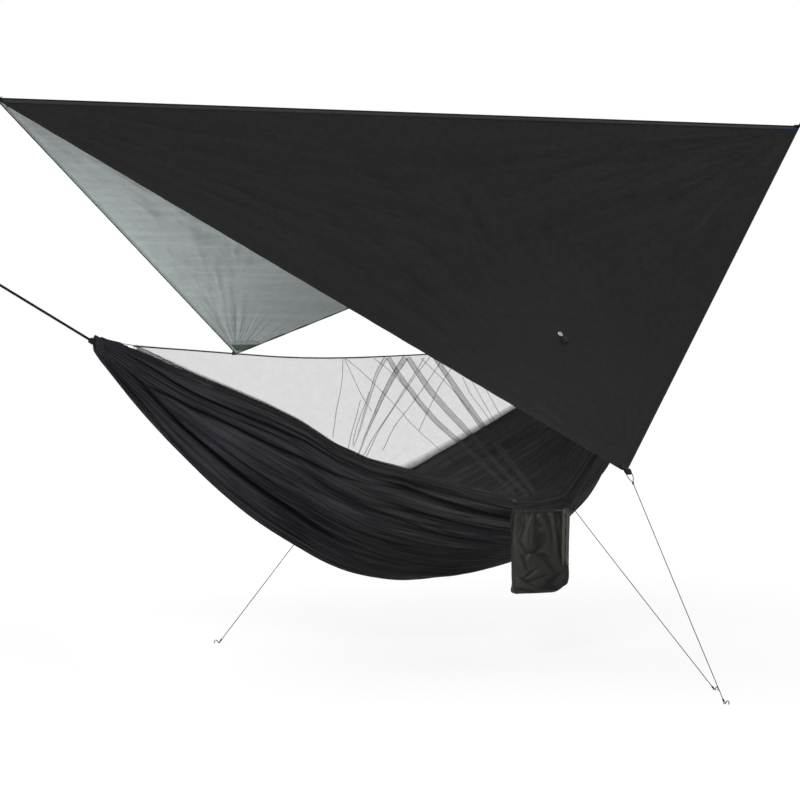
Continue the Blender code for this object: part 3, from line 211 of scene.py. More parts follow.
class Look:
    """A node material, with short ways to add its nodes."""

    def __init__(self, name, colour, roughness, metallic=0.0):
        self.made = bpy.data.materials.new(name)
        self.made.use_nodes = True
        self.tree = self.made.node_tree
        self.shader = self.tree.nodes["Principled BSDF"]
        self.set("Base Color", (*colour, 1.0))
        self.set("Roughness", roughness)
        self.set("Metallic", metallic)
        self.colour = colour
        self.where = add_node(self.tree, "TexCoord")

    def set(self, socket, value):
        """Set one of the shader's inputs to a value, or link it to an output."""
        if isinstance(value, bpy.types.NodeSocket):
            self.tree.links.new(value, self.shader.inputs[socket])
        else:
            self.shader.inputs[socket].default_value = value

    def maths(self, operation, *values):
        return add_node(self.tree, "Math", enumerate(values), operation=operation).outputs[0]

    def noise(self, source, scale, detail=3.0, roughness=0.55, stretch=(1, 1, 1)):
        spread = add_node(self.tree, "Mapping", {"Scale": stretch, "Vector": source})
        return add_node(self.tree, "TexNoise", {"Scale": scale, "Detail": detail, "Roughness": roughness,
                                                "Vector": spread.outputs[0]}).outputs[0]

    def parts(self, source):
        return add_node(self.tree, "SeparateXYZ", {0: source}).outputs

    def wave(self, source, pitch, phase=0.0):
        return self.maths("SINE", self.maths("MULTIPLY_ADD", source, 2 * math.pi / pitch, phase))

    def ramp(self, source, low, high, low_at=0.3, high_at=0.7):
        return add_node(self.tree, "MapRange", {"Value": source, "From Min": low_at, "From Max": high_at,
                                                "To Min": low, "To Max": high}).outputs[0]

    def mix(self, share, first, second):
        first, second = ((*v, 1.0) if isinstance(v, tuple) else v for v in (first, second))
        return add_node(self.tree, "Mix", {"Factor": share, 6: first, 7: second}, data_type="RGBA").outputs[2]

    def painted(self, name):
        """The values of one of the piece's own attributes."""
        return add_node(self.tree, "Attribute", attribute_name=name).outputs["Fac"]

    def bump(self, heights):
        """Bumps stacked from (height, depth in metres, strength)."""
        normal = {}
        for height, depth, strength in heights:
            node = add_node(self.tree, "Bump", {"Strength": strength, "Distance": depth, "Height": height, **normal})
            normal = {"Normal": node.outputs[0]}
        self.set("Normal", normal["Normal"])

    def tinted(self, share):
        return tuple(channel * share for channel in self.colour)


def weave(look, pitch):
    """The height of a plain weave, from the cloth's own lengths."""
    run = look.parts(look.where.outputs["UV"])
    over = look.maths("MULTIPLY", look.wave(run[0], pitch), look.wave(run[1], pitch))
    return look.maths("MULTIPLY_ADD", over, 0.5, 0.5)


# Fine creases down the cloth, bumped and painted as lines of shade: turns across it, drift along it, band of the noise,
# weight, darkness of the painted shade
LINE_SCALES = ((44.0, 1.5, 0.015, 0.075, 0.85, 0.18), (105.0, 2.4, 0.38, 0.50, 0.55, 0.40),
               (190.0, 3.4, 0.36, 0.50, 0.40, 0.45))
LINE_SEED = 3.7
MESH_PITCH = 0.0036
LINE_DEPTH = 0.0022
# Share of a cloth's colour that is left where its painted shade is deepest
DEEPEST = 0.10


def cloth_look(name, colour, spread, roughness, pitch, relief, shine=0.1, streaks=0.0, warm=None,
               along=(0, 1.0, 2.2), lines=False):
    """Woven cloth: its weave, its mottling, long streaks, and small creases painted as dark lines of shade, with
    painted shade down in its folds.
    """
    look = Look(name, colour, roughness)
    place = look.where.outputs["Object"]
    broad = look.noise(place, 2.6, 4.0)
    fine = look.noise(place, 46.0, 3.0)
    tone = look.mix(look.ramp(broad, 0, 1), look.tinted(1 - spread), look.tinted(1 + spread))
    if warm:
        axis, low_at, high_at = along
        share = look.ramp(look.parts(place)[axis], 0, 1, low_at, high_at)
        tone = look.mix(share, tone, look.mix(look.ramp(broad, 0, 1), *warm))
    tone = look.mix(look.ramp(fine, 0.0, 0.35), tone, look.tinted(0.72))
    if streaks:
        long = look.noise(look.where.outputs["UV"], 9.0, 4.0, 0.6, (0.25, 3.0, 1.0))
        tone = look.mix(look.ramp(long, 0.0, streaks, 0.45, 0.75), tone, look.tinted(1.8))
    folds = []
    for number, (turns, drift, low_at, high_at, weight, darker) in enumerate(LINE_SCALES if lines else ()):
        spot = add_node(look.tree, "CombineXYZ", {
            0: look.maths("MULTIPLY", look.parts(place)[0], drift),
            1: look.maths("MULTIPLY", look.painted("fan"), turns), 2: LINE_SEED * number})
        level = look.noise(spot.outputs[0], 1.0, 2.0, 0.5)
        if number == 0:
            level = look.maths("ABSOLUTE", look.maths("SUBTRACT", level, 0.5))
        mask = look.ramp(level, 1.0, 0.0, low_at, high_at)
        held = look.maths("MULTIPLY", mask, look.ramp(broad, weight * 0.45, weight * 1.25))
        tone = look.mix(held, tone, look.tinted(darker))
        folds.append((look.maths("MULTIPLY", mask, -1.0), LINE_DEPTH, 0.35 * weight))
    # Painted shade: the piece's shade attribute darkens the colour towards DEEPEST
    look.set("Base Color", look.mix(look.painted("shade"), tone, look.tinted(DEEPEST)))
    look.set("Roughness", look.ramp(fine, roughness - 0.06, roughness + 0.08))
    look.bump([(weave(look, pitch), pitch * 0.18, relief), (fine, 0.0016, 0.25), (broad, 0.01, 0.12), *folds])
    look.set("Specular IOR Level", shine)
    return look.made


def net_look(name, colour, opacity):
    """Fine netting, seen through between its threads."""
    look = Look(name, colour, 0.8)
    fine = look.noise(look.where.outputs["Object"], 30.0, 3.0)
    look.set("Base Color", look.mix(look.ramp(fine, 0, 1), look.tinted(0.8), look.tinted(1.25)))
    run = look.parts(look.where.outputs["UV"])
    first, second = (look.maths("ABSOLUTE", look.wave(look.maths(way, run[0], run[1]), MESH_PITCH))
                     for way in ("ADD", "SUBTRACT"))
    threads = look.maths("SUBTRACT", 1.0, look.maths("MINIMUM", first, second))
    cover = look.ramp(threads, opacity * 0.62, min(1.0, opacity * 1.75), 0.5, 1.0)
    look.set("Alpha", look.maths("MULTIPLY", cover, look.ramp(fine, 0.9, 1.1)))
    look.set("Specular IOR Level", 0.1)
    return look.made


def braid_look(name, colour, fleck=None):
    """Braided cord: diagonal strands, from the cord's own length and turn."""
    look = Look(name, colour, 0.72)
    uv = look.where.outputs["UV"]
    run = look.parts(uv)
    left, right = (look.wave(look.maths(way, look.maths("MULTIPLY", run[0], 1.6), look.maths("MULTIPLY", run[1], 6.0)),
                             1.0) for way in ("ADD", "SUBTRACT"))
    strands = look.maths("MAXIMUM", left, right)
    # Painted shade between the strands and painted highlights on their crests, following the same strands as the bump
    tone = look.mix(look.ramp(strands, 0, 1, -0.4, 1.0), look.tinted(0.45), look.tinted(1.4))
    if fleck:
        longer = add_node(look.tree, "Mapping", {"Scale": (0.5, 3.0, 1.0), "Vector": uv}).outputs[0]
        tone = look.mix(look.ramp(look.noise(longer, 3.0, 1.0), 0.0, 1.0, 0.56, 0.62), tone, fleck)
    look.set("Base Color", tone)
    look.bump([(strands, 0.0005, 0.6)])
    look.set("Specular IOR Level", 0.15)
    return look.made


def webbing_look(name, colour):
    """Ribbed webbing: ribs along its length crossed by its weft."""
    look = Look(name, colour, 0.75)
    run = look.parts(look.where.outputs["UV"])
    ribs = look.maths("MULTIPLY", look.wave(run[0], 0.0016), look.wave(run[1], 0.0022))
    fine = look.noise(look.where.outputs["Object"], 160.0, 3.0)
    # Painted shade in the hollows of the ribs and painted highlights on their crests, following the same ribs as the
    # bump
    tone = look.mix(look.ramp(ribs, 0, 1, -0.8, 0.9), look.tinted(0.6), look.tinted(1.7))
    look.set("Base Color", look.mix(look.ramp(fine, 0.0, 0.5), tone, look.tinted(0.8)))
    look.bump([(ribs, 0.0005, 0.7), (fine, 0.0004, 0.3)])
    look.set("Specular IOR Level", 0.12)
    return look.made


def metal_look(name, colour, roughness, grain):
    look = Look(name, colour, roughness, 1.0)
    place = look.where.outputs["Object"]
    brushed = look.noise(place, 320.0, 2.0, 0.6, grain)
    worn = look.noise(place, 60.0, 4.0)
    look.set("Base Color", look.mix(look.ramp(worn, 0, 1), look.tinted(0.82), look.tinted(1.06)))
    look.set("Roughness", look.ramp(brushed, roughness - 0.08, roughness + 0.12))
    look.bump([(brushed, 0.0001, 0.35), (worn, 0.0003, 0.15)])
    return look.made


def plastic_look(name, colour, shine=0.5):
    look = Look(name, colour, 0.45)
    place = look.where.outputs["Object"]
    grain = look.noise(place, 900.0, 2.0)
    worn = look.noise(place, 90.0, 3.0)
    look.set("Base Color", look.mix(look.ramp(worn, 0, 1), look.tinted(0.8), look.tinted(1.5)))
    look.set("Roughness", look.ramp(worn, 0.38, 0.55))
    look.bump([(grain, 0.0001, 0.5)])
    look.set("Specular IOR Level", shine)
    return look.made


# Cloths: colour, mottling, roughness, pitch and relief of the weave, shine, streaks, then a second colour
# range and the axis and places between which it takes over
BED_NYLON = cloth_look("bed_nylon", (0.038, 0.037, 0.0445), 0.16, 0.6, 0.0012, 0.25, 0.015, 0.35,
                       ((0.023, 0.0220, 0.0200), (0.031, 0.0298, 0.0270)), (0, 0.95, 1.75), lines=True)
SACK_NYLON = cloth_look("sack_nylon", (0.0142, 0.0138, 0.0122), 0.3, 0.5, 0.0010, 0.3, 0.14)
PATCH_GREEN = cloth_look("patch_green", (0.016, 0.046, 0.018), 0.12, 0.5, 0.0010, 0.2, 0.3, 0.0,
                         ((0.37, 0.41, 0.405), (0.42, 0.465, 0.46)), (2, -0.3370, -0.3330))
FLY_BLACK = cloth_look("fly_black", (0.0088, 0.0088, 0.0091), 0.08, 0.62, 0.0010, 0.2, 0.08)
# The near panel's cloth, lighter than fly_black: its painted shade darkens it to the fly's tone, and its painted
# highlights show this lighter colour
FLY_NEAR = cloth_look("fly_near", (0.0132, 0.0132, 0.0134), 0.08, 0.62, 0.0010, 0.2, 0.08)
FLY_SILVER = cloth_look("fly_silver", (0.40, 0.445, 0.44), 0.08, 0.5, 0.0010, 0.2, 0.3, 0.25)
HEM_SILVER = cloth_look("hem_silver", (0.16, 0.165, 0.165), 0.2, 0.5, 0.0010, 0.2, 0.3, 0.0,
                        ((0.004, 0.016, 0.038), (0.006, 0.022, 0.050)), (2, 0.0, 0.25))
SEAM_TAPE = cloth_look("seam_tape", (0.014, 0.0145, 0.016), 0.12, 0.5, 0.0008, 0.3, 0.15, 0.0,
                       ((0.003, 0.014, 0.034), (0.004, 0.018, 0.042)), (0, 3.60, 3.86))
BINDING_GREEN = cloth_look("binding_green", (0.014, 0.040, 0.016), 0.2, 0.7, 0.0009, 0.5, 0.1)
HEM_NYLON = cloth_look("hem_nylon", (0.016, 0.0155, 0.0145), 0.15, 0.62, 0.0010, 0.35, 0.08, 0.0,
                       ((0.005, 0.005, 0.005), (0.008, 0.008, 0.008)), (0, 1.9, 2.3))
TAB_PALE = cloth_look("tab_pale", (0.016, 0.016, 0.0155), 0.2, 0.6, 0.0010, 0.4, 0.1, 0.0,
                      ((0.30, 0.31, 0.30), (0.38, 0.39, 0.38)), (2, -0.2590, -0.2570))
CORNER_PALE = webbing_look("corner_pale", (0.27, 0.34, 0.26))
TAPE_OLIVE = webbing_look("tape_olive", (0.052, 0.050, 0.042))
WEBBING = webbing_look("webbing_black", (0.009, 0.009, 0.010))
ZIP_WEBBING = webbing_look("zip_webbing", (0.012, 0.012, 0.0115))
NET = net_look("net_grey", (0.078, 0.073, 0.071), 0.18)
NET_LAPPED = net_look("net_lapped", (0.045, 0.042, 0.041), 0.27)
NET_EDGE = net_look("net_edge", (0.016, 0.015, 0.015), 0.78)
ROPE_BLACK = braid_look("rope_black", (0.004, 0.004, 0.0045))
GUY_GREY = braid_look("guy_grey", (0.004, 0.004, 0.005), (0.011, 0.011, 0.012))
NET_CORD = braid_look("net_cord", (0.13, 0.125, 0.12))
TIE_GREEN = braid_look("tie_green", (0.020, 0.050, 0.028), (0.45, 0.50, 0.46))
DRAW_OLIVE = braid_look("draw_olive", (0.075, 0.073, 0.062))
THREAD = plastic_look("thread", (0.010, 0.010, 0.010), 0.05)
THREAD_PALE = plastic_look("thread_pale", (0.030, 0.031, 0.031), 0.05)
STEEL = metal_look("steel", (0.55, 0.56, 0.58), 0.30, (1, 1, 0.1))
ALUMINIUM = metal_look("peg_aluminium", (0.16, 0.162, 0.168), 0.42, (1, 1, 0.15))
PLASTIC = plastic_look("plastic_black", (0.012, 0.012, 0.012))
ZIP_METAL = metal_look("zip_metal", (0.30, 0.30, 0.31), 0.35, (1, 0.3, 1))


# Mesh pieces
class Form:
    """Vertices, faces, corner lengths and material numbers gathered for one piece."""

    def __init__(self):
        self.points, self.faces, self.corners, self.slots = [], [], [], []
        self.count = 0

    def add(self, points, faces, corners, slot=0):
        faces = np.asarray(faces, int).reshape(-1, 4) + self.count
        self.points.append(np.asarray(points, float).reshape(-1, 3))
        self.count += len(self.points[-1])
        self.add_faces(faces, np.asarray(corners, float).reshape(-1, 4, 2), slot)

    def add_faces(self, faces, corners, slot=0):
        """Faces over points that are already in the form."""
        self.faces.append(faces)
        self.corners.append(corners)
        self.slots.append(np.broadcast_to(slot, len(faces)))

    def piece(self, name, body, looks, slot, replaces=(), smooth=True, shade=None, fan=None):
        points, faces = np.concatenate(self.points), np.concatenate(self.faces)
        corners, slots = np.concatenate(self.corners), np.concatenate(self.slots)
        mesh = bpy.data.meshes.new(name)
        mesh.vertices.add(len(points))
        mesh.vertices.foreach_set("co", points.ravel())
        mesh.loops.add(faces.size)
        mesh.loops.foreach_set("vertex_index", faces.ravel())
        mesh.polygons.add(len(faces))
        mesh.polygons.foreach_set("loop_start", np.arange(len(faces)) * 4)
        mesh.polygons.foreach_set("material_index", slots)
        mesh.update(calc_edges=True)
        layer = mesh.uv_layers.new(name="UVMap")
        layer.data.foreach_set("uv", corners.ravel())
        for word, values in (("shade", shade), ("fan", fan)):
            if values is not None:
                painted = mesh.attributes.new(word, "FLOAT", "POINT")
                painted.data.foreach_set("value", np.asarray(values, float).ravel())
        mesh.validate()
        if smooth:
            mesh.shade_smooth()
            mesh.set_sharp_from_angle(angle=math.radians(60))
        for look in looks:
            mesh.materials.append(look)
        made = bpy.data.objects.new(name, mesh)
        bpy.context.scene.collection.objects.link(made)
        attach(made, body)
        if replaces:
            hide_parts(*replaces)
        return made


def grid_faces(rows, columns, wrap=False, flip=False):
    """Quads over a grid of points, and each quad's corners as (row, column)."""
    r, c = (axis.ravel() for axis in np.meshgrid(np.arange(rows - 1), np.arange(columns if wrap else columns - 1),
                                                 indexing="ij"))
    corners = np.stack([np.stack(at, -1) for at in ((r, c), (r, c + 1), (r + 1, c + 1), (r + 1, c))], 1)
    if flip:
        corners = corners[:, ::-1]
    return corners[..., 0] * columns + corners[..., 1] % columns, corners


def add_sheet(form, grid, lengths, thickness, outer=0, inner=0, flip=False):
    """A closed sheet about a grid of points: an outer face, an inner face and the rim between them."""
    rows, columns = grid.shape[:2]
    size = rows * columns
    normal = unit(np.cross(np.gradient(grid, axis=0), np.gradient(grid, axis=1)) + TINY)
    if flip:
        normal = -normal
    faces, corners = grid_faces(rows, columns, flip=flip)
    uv = lengths[corners[..., 0], corners[..., 1]]
    form.add(grid + normal * thickness / 2, faces, uv, outer)
    form.add(grid - normal * thickness / 2, faces[:, ::-1], uv[:, ::-1], inner)
    loop = np.concatenate([np.arange(columns), (np.arange(1, rows) + 1) * columns - 1,
                           (rows - 1) * columns + np.arange(columns - 2, -1, -1),
                           np.arange(rows - 2, 0, -1) * columns])
    ahead = np.roll(loop, -1)
    rim = np.stack([loop, ahead, ahead + size, loop + size], -1)
    if not flip:
        rim = rim[:, ::-1]
    form.add_faces(rim + form.count - 2 * size, lengths.reshape(-1, 2)[rim % size], outer)


def add_tube(form, path, diameter, sides=12):
    """A round cord along a path, with closed ends and its own length and turn as corner lengths."""
    path = np.asarray(path, float)
    count = len(path)
    tangents = unit(np.gradient(path, axis=0))
    side = np.array([0.0, 0.0, 1.0]) if abs(tangents[0][2]) < 0.9 else np.array([1.0, 0.0, 0.0])
    frames = []
    for tangent in tangents:
        side = side - tangent * (side @ tangent)
        side = side / np.linalg.norm(side)
        frames.append((side, np.cross(tangent, side)))
    first, second = (np.array(f) for f in zip(*frames))
    angles = turns(sides)[None, :, None]
    ring = first[:, None] * np.cos(angles) + second[:, None] * np.sin(angles)
    faces, corners = grid_faces(count, sides, wrap=True)
    uv = np.stack([(run_lengths(path) / diameter)[corners[..., 0]], corners[..., 1] / sides], -1)
    form.add(path[:, None] + ring * (diameter / 2), faces, uv)
    strip = np.array([(i, i + 1, sides - 2 - i, sides - 1 - i) for i in range(sides // 2 - 1)])
    for row, turn in ((0, -1), (count - 1, 1)):
        form.add_faces(strip[:, ::turn] + form.count + (row - count) * sides, np.zeros((len(strip), 4, 2)))


def axes_at(at, x_axis, z_axis):
    """A placement from where it is and two of its axes."""
    x = Vector(x_axis).normalized()
    z = Vector(z_axis)
    z = (z - z.dot(x) * x).normalized()
    return Matrix.Translation(Vector(at)) @ Matrix((x, z.cross(x), z)).transposed().to_4x4()


def placed(matrix, points):
    """Points taken from a placement's own axes to the part's."""
    return np.asarray(points, float) @ np.array(matrix.to_3x3()).T + np.array(matrix.translation)


def smooth_path(points, count):
    """A smooth curve through points, by Hermite pieces on their lengths."""
    points = np.asarray(points, float)
    runs = run_lengths(points)
    at = np.linspace(0, runs[-1], count)
    return np.stack([through(np.stack([runs, column], -1), at) for column in points.T], -1)


def barrel(length, radius, turns, start=0.0, steps=14):
    """The wraps of a knot, as a helix about Z from its throat to its free end."""
    share = np.linspace(0, 1, int(turns * steps) + 1)
    angle = 2 * math.pi * turns * share
    return np.stack([radius * np.cos(angle), radius * np.sin(angle), start + length * share], -1)


def add_eye(form, centre, pull, across, half_width, cord, sides=10):
    """An eye tied round something, its knot wound with turns of the same cord."""
    radius = half_width + EYE_SLACK + cord / 2
    throat = 2.6 * radius
    length = 3.0 * cord
    end, apart = throat + length * 0.8, cord * 0.52
    pull, across = Vector(pull), Vector(across)
    bight = [(radius * math.cos(a), radius * math.sin(a)) for a in np.linspace(math.pi / 2, 1.5 * math.pi, 13)]
    path = [(end, apart), (throat, apart), (throat * 0.45, radius * 0.86), *bight,
            (throat * 0.45, -radius * 0.86), (throat, -apart), (end, -apart)]
    placement = axes_at(centre, pull, pull.cross(across))
    add_tube(form, placed(placement, smooth_path([(x, y, 0) for x, y in path], 44)), cord, sides)
    knot = axes_at(Vector(centre) + pull * throat, across, pull)
    add_tube(form, placed(knot, barrel(length * 0.78, cord * 0.80, 3.2, length * 0.11)), cord * 0.86, sides)
    tail = [(cord * 0.8, 0, length * 0.12), (cord * 1.1, cord * 0.3, -cord * 0.4),
            (cord * 1.05, cord * 0.5, -cord * 1.6)]
    add_tube(form, placed(knot, smooth_path(tail, 8)), cord * 0.8, sides)


def line_points(start, stop, sag=0.0, count=28):
    """Points of a straight line, or of one that sags."""
    share = np.linspace(0, 1, count)[:, None]
    points = np.asarray(start) * (1 - share) + np.asarray(stop) * share
    points[:, 2] -= (4 * share * (1 - share) * sag)[:, 0]
    return points


# Cords
def cord_piece(name, body, points, diameter, look, slot, node, sides=12):
    form = Form()
    add_tube(form, points, diameter, sides)
    made = form.piece(name, body, [look], slot, [node])
    return made


def eye_piece(name, body, node, look, slot, *eye):
    form = Form()
    add_eye(form, *eye)
    return form.piece(name, body, [look], slot, [node])


ROPE = 0.010
CORD = 0.003
CARABINER_HALF = 0.004
WEBBING_HALF = 0.010
PEG_HALF = 0.002
LINE_SAG = 0.002
SLOPE_X, SLOPE_Z = 0.872069, 0.489382
ACROSS = (0, 1, 0)

head_eye = eye_piece("rope_eye_head", "slung", "head_eye", ROPE_BLACK, "cord_black",
                     (0.059301, 0, -0.033278), (SLOPE_X, 0, -SLOPE_Z), ACROSS, CARABINER_HALF, ROPE, 16)
eye_piece("rope_eye_foot", "slung", "foot_eye", ROPE_BLACK, "cord_black",
          (3.262876, 0, -0.254618), (-SLOPE_X, 0, -SLOPE_Z), ACROSS, CARABINER_HALF, ROPE, 16)
knot_form = Form()
knot_axes = axes_at((0.500645, 0, -0.280949), ACROSS, (-SLOPE_X, 0, SLOPE_Z))
add_tube(knot_form, placed(knot_axes, barrel(0.0165, ROPE * 0.78, 2.6, 0.0022)), ROPE * 0.88, 14)
add_tube(knot_form, placed(knot_axes, line_points((0, 0, 0.001), (0, 0, 0.0205), count=8)), ROPE * 0.9, 14)
head_knot = knot_form.piece("rope_knot_head", "slung", [ROPE_BLACK], "cord_black", ["head_knot"])
cord_piece("rope_head", "slung", line_points((0.48207, 0, -0.270525), (0.108398, 0, -0.06083)), ROPE,
           ROPE_BLACK, "cord_black", "head_rope", 18)

# Each staked line: the eye on its loop, the eye on its peg, and where the line starts and stops
STAKED = (
    ("fly", "near_fly", (2.00939, -1.345791, -0.758465), (0.071748, -0.519403, -0.851512), (1, 0, 0),
     (2.076, -1.828, -1.549), (-0.990594, -0.136836, 0.0), (2.012389, -1.367502, -0.794058),
     (2.074493, -1.817092, -1.531118)),
    ("near", "slung", (2.297488, -0.562279, -0.927817), (-0.02318, -0.839011, -0.54362),
     (-0.97885, 0.129604, -0.158289), (2.271, -1.521, -1.549), (-0.999619, 0.027618, 0.0),
     (2.296519, -0.59735, -0.95054), (2.271487, -1.503381, -1.537584)),
    ("far", "slung", (1.889685, 0.537864, -0.909282), (-0.584872, 0.198123, -0.786557),
     (0.78317, 0.390324, -0.484037), (1.414, 0.699, -1.549), (0.320837, 0.947134, 0.0),
     (1.865237, 0.546146, -0.94216), (1.426282, 0.694839, -1.532482)),
)
for word, body, eye_at, pull, across, peg_at, peg_across, start, stop in STAKED:
    eye_piece(f"guy_eye_{word}", body, f"{word}_line_eye", GUY_GREY, "guy_grey",
              eye_at, pull, across, WEBBING_HALF, CORD)
    peg_eye = eye_piece(f"peg_eye_{word}", body, f"{word}_peg_eye", GUY_GREY, "guy_grey",
                        peg_at, tuple(-v for v in pull), peg_across, PEG_HALF, CORD)
    sag = LINE_SAG * math.dist(start, stop)
    cord_piece(f"guy_line_{word}", body, line_points(start, stop, sag, 32), CORD, GUY_GREY, "guy_grey",
               f"{word}_line")

tie_form = Form()
TIE_PULL = (0.927184, 0.0, 0.374607)
add_eye(tie_form, (3.95023, 0, 0.633602), TIE_PULL, ACROSS, WEBBING_HALF, CORD)
tie_end = axes_at((4.072433, 0, 0.682975), ACROSS, TIE_PULL)
add_tube(tie_form, placed(tie_end, barrel(0.0072, CORD * 0.8, 2.6, 0.0009)), CORD * 0.86, 10)
tie_knots = tie_form.piece("tie_knots", "slung", [TIE_GREEN], "guy_grey")
cord_piece("tie_cord", "slung", line_points((3.988986, 0, 0.64926), (4.0770, 0, 0.68482), count=16), CORD,
           TIE_GREEN, "guy_grey", "ridge_tie")


# Stitches
def add_stitches(form, path, normal, pitch, length, width):
    """Short raised stitches along a seam, each a small bead of thread."""
    path = np.asarray(path, float)
    runs = run_lengths(path)
    at = np.arange(pitch / 2, runs[-1], pitch)
    middle = sampled(at, runs, path)
    way = unit(sampled(at + length / 2, runs, path) - middle + TINY)
    normal = np.asarray(normal, float)
    up = np.broadcast_to(normal, middle.shape) if normal.ndim == 1 else unit(sampled(at, runs, normal))
    side = unit(np.cross(way, up))
    rings = []
    for share, size in ((-0.5, 0.35), (-0.3, 1.0), (0.3, 1.0), (0.5, 0.35)):
        centre = middle + way * share * length
        half = width / 2 * size
        rings.append(np.stack([centre - side * half - up * 0.25 * half, centre + up * half * 0.9,
                               centre + side * half - up * 0.25 * half, centre - up * half * 0.6], 1))
    faces, corners = grid_faces(4, 4, wrap=True)
    faces = np.concatenate([faces, [(3, 2, 1, 0), (12, 13, 14, 15)]])
    corners = np.concatenate([corners, [((0, 0), (0, 1), (1, 1), (1, 0))] * 2])
    faces = faces[None] + (np.arange(len(at)) * 16)[:, None, None]
    form.add(np.stack(rings, 1), faces, np.broadcast_to(corners, (len(at), *corners.shape)))


def hollows(heights, reach):
    """How far each place lies below the mean of its surroundings across the cloth."""
    padded = np.pad(heights, ((0, 0), (reach, reach)), mode="edge")
    total = np.cumsum(np.pad(padded, ((0, 0), (1, 0))), axis=1)
    width = 2 * reach + 1
    return (total[:, width:] - total[:, :-width]) / width - heights


# Fly: each panel's body, the slot of its cloth and the slot of its trim
FLY_SIDES = {-1: ("near_fly", "fly_black", "fly_black"), 1: ("far_fly", "fly_silver", "binding_green")}


def slope(side):
    """The ways down a fly panel and out of it."""
    pitch = NEAR_PITCH if side < 0 else FAR_PITCH
    return (np.array([0, side * math.cos(pitch), -math.sin(pitch)]),
            np.array([0, side * math.sin(pitch), math.cos(pitch)]))


def on_slope(side, along, fall, lift=0.0):
    """Points at lengths along the ridge and down a fly panel, lifted out of its plane."""
    down, out = slope(side)
    along, fall, lift = (np.asarray(v, float)[..., None] for v in (along, fall, lift))
    return np.array(RIDGE) + along * np.array([1.0, 0, 0]) + fall * down + lift * out


def fly_lift(side, along, fall, inner, level):
    """How far a fly panel stands off its plane: folds that fan from its corners, and a little belly."""
    fan = np.sin(24 * np.arctan2(fall, HALF_DIAGONAL - along))
    tab = np.clip(np.hypot(along - TAB_ALONG, fall - TAB_DOWN) / 0.25 - 1, 0, 1)
    edge = np.sin(np.pi * level) * np.sin(np.pi * inner)
    lift = 0.004 * fan * tab * edge
    seed = 3.0 if side < 0 else 17.0
    for off, ahead, waves, height in (
            (fall, HALF_DIAGONAL - along, 17, 0.021), (fall, HALF_DIAGONAL + along, 15, 0.013),
            (along, HALF_DIAGONAL - fall, 9, 0.016)):
        reach, turn = np.hypot(off, ahead), np.arctan2(off, ahead)
        seed += 5.0
        rough = np.array([noise.fractal(Vector((waves * t, 1.7 * r, seed)), 0.8, 2.0, 3)
                          for t, r in zip(turn.ravel(), reach.ravel())]).reshape(turn.shape)
        lift = lift + height * rough * np.exp(-reach) * edge ** 0.5 * tab * np.minimum(1, reach / 0.35)
    return lift


# Creases of the near panel that catch the light, or lie in shade where the strength is below zero
FLY_STREAKS = (
    (((0.894, 0.375), (1.041, 0.332), (1.195, 0.279), (1.255, 0.261)), 0.013, 0.8),
    (((1.036, 0.395), (1.133, 0.369), (1.231, 0.319)), 0.011, 0.8),
    (((0.755, 0.565), (0.844, 0.525), (0.911, 0.50)), 0.014, 0.5),
    (((0.81, 0.603), (0.924, 0.555), (1.033, 0.506)), 0.013, 0.7),
    (((0.933, 0.693), (1.075, 0.583), (1.197, 0.487), (1.231, 0.462)), 0.013, 0.9),
    (((1.16, 0.424), (1.235, 0.391), (1.315, 0.349)), 0.011, 0.7),
    (((1.546, 0.269), (1.648, 0.192), (1.766, 0.113)), 0.014, 0.8),
    (((1.496, 0.254), (1.593, 0.186), (1.745, 0.097)), 0.014, -0.4),
    (((0.844, 0.257), (1.081, 0.202), (1.329, 0.137)), 0.018, -0.4),
    (((0.762, 0.148), (1.048, 0.130), (1.347, 0.103), (1.659, 0.067), (1.815, 0.053)), 0.016, -0.45),
    (((0.50, 0.135), (0.762, 0.120), (1.048, 0.104), (1.347, 0.079), (1.659, 0.050)), 0.020, 0.25),
    (((1.267, 0.065), (1.617, 0.035), (1.813, 0.031)), 0.010, -0.4),
    (((0.60, 0.46), (0.80, 0.42), (1.00, 0.36)), 0.020, 0.25),
    (((0.70, 0.72), (0.86, 0.64), (1.00, 0.57)), 0.020, 0.25),
    (((0.10, 1.62), (0.16, 1.40), (0.26, 1.15)), 0.030, 0.25),
)


def fly_panel(name, side, node):
    """A fly panel's cloth, from its ridge seam to its hems."""
    inset = HEM_WIDTH * 0.6 * math.sqrt(2)
    top = SEAM_DIAMETER / 2 + GAP
    bottom = HALF_DIAGONAL - inset - APEX_HALF_WIDTH
    level, share = np.linspace(0, 1, 170)[:, None], np.linspace(0, 1, 250)[None, :]
    fall = np.broadcast_to(top + (bottom - top) * level, (170, 250))
    along = (HALF_DIAGONAL - fall - inset) * (2 * share - 1)
    lift = fly_lift(side, along, fall, share, level)
    form = Form()
    add_sheet(form, on_slope(side, along, fall, lift), np.stack([along, fall], -1), FLY_THICKNESS, 0, 1, side > 0)
    # Painted shade in the hollows of the panel's folds; on the near panel, painted shade all over its lighter cloth,
    # lifted by painted highlights and deepened by painted shade along FLY_STREAKS
    shade = np.clip((hollows(lift, 6) + hollows(lift.T, 4).T) / 0.0022, 0, 1) * 0.34
    if side < 0:
        shade = shade * 0.6 + 0.42
        for line, wide, strength in FLY_STREAKS:
            runs, falls = np.array(line).T
            off = (fall - np.interp(along, runs, falls)) / wide
            ends = smooth_step(runs[0] - 0.05, runs[0] + 0.06, along)
            ends = ends * (1 - smooth_step(runs[-1] - 0.06, runs[-1] + 0.05, along))
            shade = shade - 0.42 * strength * ends * np.exp(-off**2)
        shade = np.clip(shade, 0, 0.9)
    body, slot, _ = FLY_SIDES[side]
    return form.piece(name, body, [FLY_NEAR if side < 0 else FLY_BLACK, FLY_SILVER], slot, [node],
                      shade=np.stack([shade, shade]))


